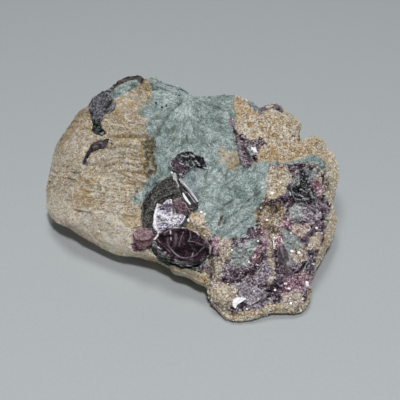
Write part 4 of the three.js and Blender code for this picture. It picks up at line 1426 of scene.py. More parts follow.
    @staticmethod
    def warmth(p: Array, x: Array, y: Array, weights: dict[Rock, Array]) -> Array:
        """Says how warm the weathering is, with a painted warm tint along the feldspar's foot.

        Noise of two sizes warms the stony minerals. The feldspar is greyer at its left end and
        warmer along its foot, a painted tint that offsets the cool floor light on that down-turned
        edge, and each rusty pit and tone spot adds its own amount times bell(distance, radius).

        Args:
            p: face-frame points.
            x: their places on the sheet.
            y: the same, down the sheet.
            weights: each mineral's share.

        Returns:
            Above 0 where it is ochre, below 0 where it is chalky.
        """
        stony = weights[Rock.FELDSPAR] + weights[Rock.GRANULAR] + weights[Rock.TAN]
        stony += 0.6 * (weights[Rock.PALE] + weights[Rock.RUST]) + 0.35 * weights[Rock.GREEN]
        warm = stony * (0.8 * Noise.fractal(p, 7.0, 3, 81) + 1.4 * Noise.fractal(p, 1.0, 3, 83))
        left, foot = smoothstep(x, 112.0, 60.0), smoothstep(y - 0.45 * x, 180.0, 196.0)
        # painted tint: the 0.5 along the feldspar's foot offsets the cool floor light on that down-turned
        # edge
        warm = warm + weights[Rock.FELDSPAR] * (0.5 * foot - 0.15 * left)
        spots = [(*spot, Block.PIT_WARMTH) for spot in RUST_SPOTS]
        spots += [(*shade[:3], shade[4]) for shade in TONE_SPOTS_AND_PAINTED_LIGHT]
        for spot_x, spot_y, radius, warmer in spots:
            warm = warm + warmer * bell(np.hypot(x - spot_x, y - spot_y), radius)
        return warm

    def grids(self) -> tuple[Array, Array, Array, Array, Faces]:
        """Joins the two grids into one closed surface.

        Returns:
            Face-frame points, sheet x and y, distances in from the rim, and triangles. The points
            of the display face come first.
        """
        n, m = self.cells, self.cells // 2
        inner = np.zeros((m + 1, m + 1), bool)
        inner[1:-1, 1:-1] = True
        points, x, y, inward = (
            np.concatenate([face.reshape(-1, *face.shape[2:]), under[inner]])
            for face, under in zip(self.square_grid(n, True), self.square_grid(m, False))
        )
        index = np.arange((n + 1) ** 2).reshape(n + 1, n + 1)
        under_index = index[::2, ::2].copy()
        under_index[inner] = (n + 1) ** 2 + np.arange(inner.sum())
        faces = np.vstack([self.triangles(index), self.triangles(under_index)[:, ::-1], self.seam(index)])
        return points, x, y, inward, faces

    def build(self) -> bpy.types.Object:
        """Makes the block's mesh, cut off level at the table.

        The points move out along their normals by the lumps, then by the relief and the ledges.
        What the plates and the crumbs need to know of the surface is kept. The painted shade under
        the ledges joins the cracks' darkening. Crumbs may lie on a point in proportion to its area,
        less on the underside and not in a crack, in a ledge's painted shade or at the foot.

        Returns:
            The piece, with no material yet.
        """
        points, x, y, inward, faces = self.grids()
        on_face = np.arange(len(points)) < (self.cells + 1) ** 2
        lumps = sum(high * Noise.smooth(points, size, k) for k, (size, high) in enumerate(self.lumps))
        lumps *= smoothstep(inward, 0.0, self.lump_margin)
        points = points + point_normals(points, faces) * lumps[:, None]
        normals = point_normals(points, faces)
        weights = self.rock_weights(x, y, points)
        relief, tone, dark = self.relief(points, x, y, weights)
        wander = Noise.fractal(points, 3.0, 3, 63) * 2.0
        for ledge in LEDGES:
            rise, shade = ledge.rise(x + 0.4 * wander, y + wander)
            relief += rise * on_face
            # Painted shade under each ledge is added to the cracks' darkening.
            dark = np.maximum(dark, self.LEDGE_SHADE * shade * on_face)
        relief *= lerp(self.RIM_RELIEF, 1.0, smoothstep(inward, 0.0, self.RIM_WIDTH))
        points = points + normals * relief[:, None]
        row = SHEET.to_row(points)
        row[:, 2] = np.maximum(row[:, 2], 0.0)

        self.points, self.normals, self.weights = row, point_normals(row, faces), weights
        self.tone, self.warm = tone - self.CRACK_TONE * dark, self.warmth(points, x, y, weights)
        self.sheet = np.column_stack([x, y])[on_face]
        level = np.array(self.FELDSPAR_GRAIN)
        self.fibres = lerp(FANS.rays(x, y), level, weights[Rock.FELDSPAR][:, None]) @ SHEET.axes()
        bare = np.where(on_face, 1.0, self.CRUMBS_UNDER) * (row[:, 2] > self.CRUMBS_ABOVE)
        self.areas = self.areas_of(row, faces) * (bare * (1.0 - np.minimum(dark, 1.0)) ** 3)
        attributes = {rock.name.lower(): weights[rock] for rock in Rock if rock is not Rock.FELDSPAR}
        # The crack attribute holds the cracks' darkening and the painted shade under the ledges.
        attributes |= {"tone": tone, "crack": dark, "warm": self.warm}
        return put_mesh("matrix_surface", row, faces, attributes)

    @staticmethod
    def areas_of(points: Array, faces: Faces) -> Array:
        """Gives twice the area of the triangles round each point.

        Args:
            points: (n, 3).
            faces: triangles.

        Returns:
            The doubled areas, (n,).
        """
        a, b, c = (points[faces[:, i]] for i in range(3))
        size = np.linalg.norm(np.cross(b - a, c - a), axis=1)
        return sum(np.bincount(faces[:, i], size, len(points)) for i in range(3))

    def plane_at(self, at: Place, reach: float) -> tuple[float, Array]:
        """Measures the finished face around a place on the sheet.

        Args:
            at: the place.
            reach: how far around it, in squares.

        Returns:
            Its mean w and normal, in the face frame.
        """
        near = np.flatnonzero(np.hypot(self.sheet[:, 0] - at[0], self.sheet[:, 1] - at[1]) < reach)
        normal = unit(self.normals[near].mean(axis=0)) @ SHEET.axes().T
        return float(SHEET.to_face(self.points[near])[:, 2].mean()), normal

    @staticmethod
    def triangles(index: Faces) -> Faces:
        """Splits a grid into triangles, the diagonals running from the hub out.

        Args:
            index: the grid's point numbers.

        Returns:
            The triangles, (n, 3).
        """
        side = len(index) - 1
        a, b, c, d = (
            part.reshape(-1) for part in (index[:-1, :-1], index[:-1, 1:], index[1:, 1:], index[1:, :-1])
        )
        j, i = np.divmod(np.arange(side * side), side)
        rising = ((i < side / 2) == (j < side / 2))[:, None]
        first = np.where(rising, np.stack([a, b, c], 1), np.stack([a, b, d], 1))
        second = np.where(rising, np.stack([a, c, d], 1), np.stack([b, c, d], 1))
        return np.vstack([first, second])

    @staticmethod
    def seam(index: Faces) -> Faces:
        """Closes the rim, where two edges of the face's grid meet one edge of the underside's."""
        loop = np.concatenate([index[0, :-1], index[:-1, -1], index[-1, :0:-1], index[:0:-1, 0]])
        return np.stack([loop[::2], np.roll(loop, -2)[::2], loop[1::2]], 1)


class BlockFinish:
    """The block's material: each mineral's colours, laid over one another by its share."""

    BUMPS = (1700.0, 0.5)
    VALUES = {"Roughness": 0.72, "Specular IOR Level": 0.4}
    # The colour mixed in by the crack attribute: the cracks' darkening and the painted shade under ledges.
    CRACK: Colour = (30, 24, 20)
    CRACK_AND_SHADE_STRENGTH = 0.85

    def build(self) -> bpy.types.Material:
        """Builds the node tree.

        Returns:
            The material.
        """
        material, graph, shader = new_material("pegmatite", self.VALUES, self.BUMPS)
        tone = graph.attribute("tone")
        colour = Rock.FELDSPAR.value.colour(graph, tone)
        for rock in Rock:
            if rock is not Rock.FELDSPAR:
                colour = graph.mix(graph.attribute(rock.name.lower()), colour, rock.value.colour(graph, tone))
        colour = Weather().apply(graph, colour)
        # The crack attribute also holds the painted shade under the ledges.
        crack = graph.maths("MULTIPLY", graph.attribute("crack"), self.CRACK_AND_SHADE_STRENGTH)
        graph.feed(shader.inputs["Base Color"], graph.mix(crack, colour, to_linear(self.CRACK)))
        return material


# ------------------------------------------------------------------ books


@dataclass(frozen=True)
class MicaFinish:
    """A mica's look.

    Attributes:
        name: the material's name.
        dark: darkest colour of its sheets, sRGB.
        middle: their usual colour.
        light: colour of their bright marks.
        edge: colour of worn rims and cracks, and of the painted highlights on bright rims.
        blotch: size of its colour patches, in patches to a metre.
        mottle: how much the patches change the tone.
        grain: how much the fine grain changes the tone.
        metal: how much of the sheet is silvery, from 0 to 1.
        rough: roughness of the sheets.
        gloss: weight of the clear coat.
        shine: how strongly the sheets themselves mirror.
    """

    BUMPS = (1100.0, 0.3)
    GRAIN_SCALE = 2300.0
    METAL_SCALE = 1300.0
    COAT_ROUGHNESS = 0.12

    name: str
    dark: Colour
    middle: Colour
    light: Colour
    edge: Colour
    blotch: float = 420.0
    mottle: float = 0.8
    grain: float = 0.6
    metal: float = 0.0
    rough: float = 0.3
    gloss: float = 0.15
    shine: float = 0.35

    def build(self) -> bpy.types.Material:
        """Builds the node tree: mottled sheets, pale worn rims, painted rim highlights and a clear gloss.

        Returns:
            The material.
        """
        values = {"Roughness": self.rough, "Specular IOR Level": self.shine,
                  "Coat Weight": self.gloss, "Coat Roughness": self.COAT_ROUGHNESS}
        material, graph, shader = new_material(self.name, values, self.BUMPS)
        blotch = graph.maths("SUBTRACT", graph.noise(self.blotch, 5.0, 0.7), 0.5)
        tone = graph.maths("ADD", graph.attribute("tone"), graph.maths("MULTIPLY", blotch, self.mottle * 2.0))
        mineral = Mineral(self.dark, self.middle, self.light, self.GRAIN_SCALE, self.grain)
        colour = graph.mix(graph.attribute("mark"), mineral.colour(graph, tone), to_linear(self.edge))
        graph.feed(shader.inputs["Base Color"], colour)
        if self.metal > 0:
            silvery = graph.ramp(graph.noise(self.METAL_SCALE, 3.0), 0.4, 0.62)
            graph.feed(shader.inputs["Metallic"], graph.maths("MULTIPLY", silvery, self.metal))
        return material


class Mica(Enum):
    """The looks that the mica comes in; each value is its finish."""

    PLUM = MicaFinish("plum_mica", (7, 3, 6), (46, 29, 38), (104, 84, 97), (240, 230, 240),
                      620.0, 1.3, 2.4, 0.0, 0.5, 0.0, 0.04)
    BLACK = MicaFinish("black_mica", (3, 3, 4), (16, 15, 19), (70, 66, 76), (196, 200, 206),
                       900.0, 1.3, 1.2, 0.0, 0.35, 0.05, 0.2)
    COAL = MicaFinish("coal_mica", (3, 2, 4), (46, 44, 49), (166, 170, 178), (230, 234, 240),
                      1400.0, 3.4, 2.8, 0.0, 0.35, 0.02, 0.12)
    STACK = MicaFinish("stack_mica", (4, 7, 7), (26, 32, 31), (116, 124, 121), (224, 230, 226),
                       900.0, 1.8, 1.8, 0.0, 0.35, 0.05, 0.25)
    SILVER = MicaFinish("silver_mica", (60, 44, 66), (146, 136, 164), (240, 242, 254), (252, 254, 255),
                        1300.0, 2.6, 3.6, 0.0, 0.35, 0.05, 0.3)
    RUSSET = MicaFinish("russet_mica", (32, 16, 24), (78, 50, 61), (156, 130, 142), (196, 178, 188),
                        1200.0, 2.0, 2.8, 0.0, 0.4, 0.03, 0.15)
    CHARCOAL = MicaFinish("charcoal_mica", (8, 8, 8), (48, 47, 46), (128, 128, 124), (138, 136, 132),
                          1100.0, 1.3, 2.6, 0.0, 0.5, 0.03, 0.15)
    GREY = MicaFinish("grey_mica", (36, 36, 40), (100, 99, 105), (172, 174, 178), (180, 182, 186),
                      1200.0, 2.0, 1.8, 0.0, 0.4, 0.05, 0.2)
    ROSE = MicaFinish("rose_mica", (74, 42, 52), (120, 90, 99), (186, 164, 172), (196, 180, 186),
                      900.0, 1.1, 1.8, 0.0, 0.4, 0.05, 0.2)
    VIOLET = MicaFinish("violet_mica", (44, 30, 40), (114, 101, 109), (194, 184, 192), (214, 206, 214),
                        1300.0, 2.4, 2.8, 0.0, 0.35, 0.06, 0.25)
    LILAC = MicaFinish("lilac_mica", (66, 52, 66), (122, 112, 124), (206, 200, 208), (222, 216, 228),
                       1300.0, 2.4, 2.4, 0.0, 0.35, 0.1, 0.3)
    DUSK = MicaFinish("dusk_mica", (26, 14, 22), (72, 54, 66), (140, 120, 136), (176, 164, 178),
                      900.0, 1.5, 2.0, 0.0, 0.4, 0.05, 0.2)
    SAGE = MicaFinish("sage_mica", (84, 90, 90), (142, 150, 149), (212, 218, 218), (222, 226, 226),
                      1300.0, 1.8, 1.8)
    SAND = MicaFinish("sand_mica", (112, 82, 78), (172, 150, 142), (228, 218, 212), (228, 216, 208),
                      1300.0, 2.2, 2.2)
    RUBY = MicaFinish("ruby_mica", (64, 30, 44), (124, 88, 104), (208, 184, 196), (214, 196, 204),
                      1400.0, 2.4, 2.4)
    PEARL = MicaFinish("pearl_mica", (116, 110, 118), (176, 172, 180), (230, 228, 236), (236, 234, 240),
                       900.0, 1.2, 1.0)
    # Near-white sheets: the colour is a painted highlight for flashes off cleavage faces; the laid ones also
    # face the key light.
    WHITE = MicaFinish("white_glint_mica", (200, 198, 206), (246, 246, 250), (255, 255, 255), (255, 255, 255),
                       700.0, 0.4, 0.4, 0.0, 0.35, 0.0, 0.6)
    FLAKE = MicaFinish("flake_mica", (34, 16, 30), (114, 90, 107), (214, 209, 222), (255, 255, 255),
                       1300.0, 1.1, 1.2, 0.1, 0.3)
    BLUSH = MicaFinish("blush_mica", (76, 36, 54), (150, 110, 128), (236, 214, 224), (255, 255, 255),
                       1300.0, 1.1, 1.2, 0.1, 0.3)


@cache
def material_for(mica: Mica) -> bpy.types.Material:
    """Gives a mica's material, built once."""
    return mica.value.build()


@dataclass
class Parts:
    """Meshes with different finishes, gathered into one piece."""

    LOWEST = 0.05

    points: list[Array] = field(default_factory=list)
    faces: list[Faces] = field(default_factory=list)
    tones: list[Array] = field(default_factory=list)
    marks: list[Array] = field(default_factory=list)
    finishes: list[Mica] = field(default_factory=list)
    count: int = 0

    def add(self, points: Array, faces: Faces, tone: Array, mark: Array, mica: Mica) -> None:
        """Adds one mesh.

        Args:
            points: face-frame points.
            faces: triangles.
            tone: each point's tone.
            mark: how pale each point is marked, by worn rims, pale lines and painted rim highlights.
            mica: its finish.
        """
        self.points.append(points)
        self.faces.append(faces + self.count)
        self.tones.append(tone)
        self.marks.append(mark)
        self.finishes.append(mica)
        self.count += len(points)

    def build(self, name: str) -> bpy.types.Object:
        """Makes the piece, each of its meshes in its own finish.

        Args:
            name: the piece's name.

        Returns:
            The piece.
        """
        attributes = {"tone": np.concatenate(self.tones), "mark": np.concatenate(self.marks)}
        row = SHEET.to_row(np.vstack(self.points))
        row[:, 2] = np.maximum(row[:, 2], self.LOWEST)
        piece = put_mesh(name, row, np.vstack(self.faces), attributes, smooth=False)
        used = list(dict.fromkeys(self.finishes))
        for mica in used:
            piece.data.materials.append(material_for(mica))
        index = np.repeat([used.index(mica) for mica in self.finishes], [len(faces) for faces in self.faces])
        piece.data.polygons.foreach_set("material_index", index.astype(np.int32))
        return piece


@dataclass(frozen=True)
class Plate:
    """A stack of thin mica sheets on a plane that leans in the face frame.

    A sheet's outline is drawn on the layout sheet and carried along the lines of sight onto the
    plane. Each deeper sheet is slid and grown by its depth, and each outline is worn by noise.

    Attributes:
        outline: the top sheet's outline on the layout sheet.
        at: a place on the layout sheet that its plane passes through.
        w: how far out of the sheet the plane is there.
        facing: the plane's normal.
        mica: the top sheet's finish.
        depth: the stack's thickness, in millimetres.
        sheets: how many sheets it has.
        flare: how much a sheet is larger for each millimetre that it lies deeper.
        slide: how far it is slid for each millimetre that it lies deeper.
        ragged: how far an outline wanders, in millimetres.
        wrinkle: how far the top sheet's surface rises and falls, in millimetres.
        under: the deeper sheets' finish, if it differs.
        marks: lines on its top: the line on the layout sheet, its width in squares, and how pale
            it is, or below 0 how dark.
        tone: added to the tone of every sheet.
        exposed: how much of the stack stands out of the block, in millimetres.
        seed: seeds its own source of chance.
        spokes: points round an outline.
        rings: rings of points on the top sheet.
        laid: whether it is laid on the block, its w and facing then added to the block's own.
        rim: how pale the top sheet's worn rim is; a bright one is a painted highlight, kept to
        the upper left edge that faces the light and two rings wide.
    """

    TO_KEY_LIGHT = (0.02, 0.16, 0.987)
    # rims paler than this are painted highlights, kept to the upper left edge that faces the light
    PAINTED_HIGHLIGHT_RIM = 0.6
    BRIGHT_EDGE, DULL_EDGE, DULL_SHARE = 0.85, 0.15, 0.62
    GAP, LIP, SLIP, TILT = 0.03, 0.05, 0.08, 0.01
    LEAST_REACH, REACH = 2.0, 0.35
    INNER_RING = 0.6

    outline: Outline
    at: Place
    w: float
    facing: tuple[float, float, float]
    mica: Mica
    depth: float = 2.0
    sheets: int = 5
    flare: float = 0.0
    slide: tuple[float, float] = (0.0, 0.0)
    ragged: float = 0.25
    wrinkle: float = 0.06
    under: Mica | None = None
    marks: tuple[Mark, ...] = ()
    tone: float = 0.0
    exposed: float = 1.0
    seed: int = 1
    spokes: int = 120
    rings: int = 18
    laid: bool = False
    rim: float = 0.6

    def settle(self, block: Block) -> Plate:
        """Lays the plate on the finished block, if it is one that is laid.

        Its plane is the mean one of the block beneath, but a white plate faces the key light.

        Args:
            block: the finished block.

        Returns:
            The plate in its place.
        """
        if not self.laid:
            return self
        x, y = np.array(self.outline, float).T
        reach = max(self.LEAST_REACH, self.REACH * math.hypot(np.ptp(x), np.ptp(y)))
        depth, normal = block.plane_at(self.at, reach)
        facing = self.TO_KEY_LIGHT if self.mica is Mica.WHITE else tuple(normal + np.array(self.facing))
        return replace(self, w=depth + self.w, facing=facing)

    def axes(self) -> Array:
        """Gives the plate's own x, y and z directions in the face frame, as rows.

        Its z is the way it faces, and its x is level in the sheet.

        Returns:
            The directions, (3, 3).
        """
        z = unit(np.array(self.facing))
        x = unit(np.cross([0.0, 1.0, 0.0], z))
        return np.stack([x, np.cross(z, x), z])

    def plane_depth(self, u: Array, v: Array) -> Array:
        """Gives w where the lines of sight through u, v cross the plate's plane."""
        through = SHEET.point(*SHEET.uv(*self.at), np.asarray(self.w))
        return SHEET.depth_on_plane(u, v, self.axes()[2], through)

    def boundary(self) -> tuple[Array, Array]:
        """Gives the top outline in the plate's own x and y, evenly spaced, and its middle.

        Returns:
            The outline, (spokes, 2), and its middle in the face frame.
        """
        u, v = SHEET.uv(*np.array(self.outline, float).T)
        face = SHEET.point(u, v, self.plane_depth(u, v))
        middle = face.mean(axis=0)
        corners = (face - middle) @ self.axes().T
        corners = np.vstack([corners, corners[:1]])[:, :2]
        length = np.concatenate([[0], np.cumsum(np.linalg.norm(np.diff(corners, axis=0), axis=1))])
        way = np.arange(self.spokes) / self.spokes * length[-1]
        ring = np.stack([np.interp(way, length, corners[:, i]) for i in range(2)], -1)
        return (np.roll(ring, 1, 0) + 2 * ring + np.roll(ring, -1, 0)) / 4, middle

    def slab(self, outline: Array, steps: Array, height: float, low: float) -> tuple[Array, Array, Faces]:
        """Makes one sheet as a closed slab, its rings running out over the top and in below it.

        Args:
            outline: its outline in the plate's own x and y.
            steps: the rings' sizes, as shares of the outline.
            height: z of its top.
            low: z of its underside.

        Returns:
            Its points' x and y, their z, and triangles. The last two points are the middles.
        """
        top, bottom = outline * steps[:, None, None], outline * steps[::-1, None, None]
        bottom[0] = outline - unit(outline) * self.LIP
        flat = np.vstack([np.concatenate([top, bottom]).reshape(-1, 2), [[0, 0], [0, 0]]])
        z = np.concatenate([np.repeat([height, low], len(steps) * self.spokes), [height, low]])
        rings = np.arange(2 * len(steps) * self.spokes).reshape(-1, self.spokes)
        a, b = rings[:-1], rings[1:]
        a1, b1, first1, last1 = (np.roll(ring, -1, -1) for ring in (a, b, rings[0], rings[-1]))
        top_middle, low_middle = (np.full(self.spokes, len(flat) - n) for n in (2, 1))
        faces = np.vstack([
            np.stack([a, b, b1], -1).reshape(-1, 3), np.stack([a, b1, a1], -1).reshape(-1, 3),
            np.stack([top_middle, rings[0], first1], 1), np.stack([low_middle, last1, rings[-1]], 1),
        ])
        return flat, z, faces

    def wrinkles(self, flat: Array) -> Array:
        """Gives the top's rise and fall: noise, and the same noise rounded to thirds.

        Args:
            flat: places in the plate's own x and y.

        Returns:
            The rise in millimetres, 0 for the points of the underside.
        """
        rough = Noise.fractal(np.column_stack([flat, np.full(len(flat), self.seed * 3.7)]), 2.6, 4, 73)
        is_top = np.arange(len(flat)) < len(flat) // 2
        is_top[-2] = True
        return np.where(is_top, self.wrinkle * (rough + np.round(rough * 3.0) / 3.0), 0.0)

    def draw_marks(self, points: Array, tone: Array, mark: Array) -> tuple[Array, Array]:
        """Draws the lines on the top: strength times bell(distance, width), broken up by noise.

        Args:
            points: the top sheet's points in the face frame.
            tone: their tone.
            mark: how pale they are marked, by worn rims and painted rim highlights.

        Returns:
            The tone with the dark lines, and the pale marks with the pale ones.
        """
        x, y = SHEET.covered(points)
        broken = lerp(0.35, 1.0, smoothstep(Noise.fractal(points, 1.2, 2, 77), -0.4, 0.15))
        for line, width, strength in self.marks:
            drawn = strength * bell(distance_to_line(x, y, line), width)
            if strength > 0:
                mark = np.maximum(mark, broken * drawn)
            else:
                tone = tone + drawn
        return tone, mark

    def add_to(self, parts: Parts) -> None:
        """Stacks the sheets, from the top down.

        Args:
            parts: the piece that they go in.
        """
        rng = np.random.default_rng(self.seed)
        base, middle = self.boundary()
        axes, thick, spokes = self.axes(), self.depth / self.sheets, self.spokes
        for k in range(self.sheets):
            wear = np.column_stack([base, np.full(spokes, rng.uniform(0, 90))])
            worn = Noise.fractal(wear, 2.2, 4, 71) * self.ragged * 1.7
            slid = np.array(self.slide) * thick * k + rng.normal(0, self.SLIP, 2) * (k > 0)
            outline = base * (1 + self.flare * thick * k) + unit(base) * worn[:, None] + slid
            steps = np.linspace(0, 1, self.rings + 1)[1:] if k == 0 else np.array([self.INNER_RING, 1.0])
            height = -thick * k - (self.GAP if k else 0.0)
            flat, z, faces = self.slab(outline, steps, height, -thick * (k + 1))
            z = z + flat @ rng.normal(0, self.TILT, 2) * (k > 0)
            if k == 0:
                z = z + self.wrinkles(flat)
            points = np.column_stack([flat, z]) @ axes + middle
            tone = np.full(len(flat), 0.4 + self.tone + (rng.uniform(-0.3, 0.35) if k else 0.0))
            mark = np.zeros(len(flat))
            edge = (len(steps) - 1) * spokes
            chipped = smoothstep(Noise.fractal(wear, 1.1, 3, 75), -0.25, 0.3)
            worn_rim = self.BRIGHT_EDGE if rng.uniform(0, 1) > self.DULL_SHARE else self.DULL_EDGE
            mark[edge : edge + 2 * spokes] = np.tile(chipped, 2) * worn_rim
            if k == 0:
                pale = self.rim * chipped
                # A bright rim is a painted highlight, kept to the upper left edge that faces the light and
                # two rings wide.
                if self.rim > self.PAINTED_HIGHLIGHT_RIM:
                    pale = pale * smoothstep(outline[:, 1] - 0.6 * outline[:, 0], -2.0, 2.0)
                    mark[edge - spokes : edge] = pale
                mark[edge : edge + spokes] = pale
                tone, mark = self.draw_marks(points, tone, mark)
            parts.add(points, faces, tone, mark, self.mica if k == 0 or self.under is None else self.under)


def loose(outline: Outline, mica: Mica, lift: float = 0.25, tip: Place = (0.0, 0.0),
          marks: tuple[Mark, ...] = (), depth: float = 0.9) -> Plate:
    """Draws a plate that is laid on the block, tipped by an amount along u and v.

    Args:
        outline: its outline on the layout sheet.
        mica: its finish.
        lift: how far its top is above the block's mean surface, in millimetres.
        tip: added to the block's normal along u and v.
        marks: pale or dark lines on it.
        depth: its thickness.

    Returns:
        The plate.
    """
    x, y = np.array(outline, float).T
    return Plate(
        outline, (float(x.mean()), float(y.mean())), lift, (*tip, 0.0), mica, depth, sheets=2, ragged=0.2,
        wrinkle=0.15, marks=marks, exposed=0.0, seed=int(x.sum() + 7 * y.sum()), spokes=44, rings=7,
        laid=True,
    )


def speck(x: float, y: float, r: float) -> Outline:
    """Draws a six-sided outline of radius r squares."""
    return tuple((x + r * math.cos(a), y + 0.8 * r * math.sin(a)) for a in np.arange(6) * math.pi / 3 + x)


FRONT_RING: Outline = (
    (167.5, 238), (167.5, 243), (170, 248), (174, 253), (178, 256), (184, 258), (191, 257), (196, 255),
    (200, 251), (204, 247), (205.5, 242), (204, 238), (200, 235),
)

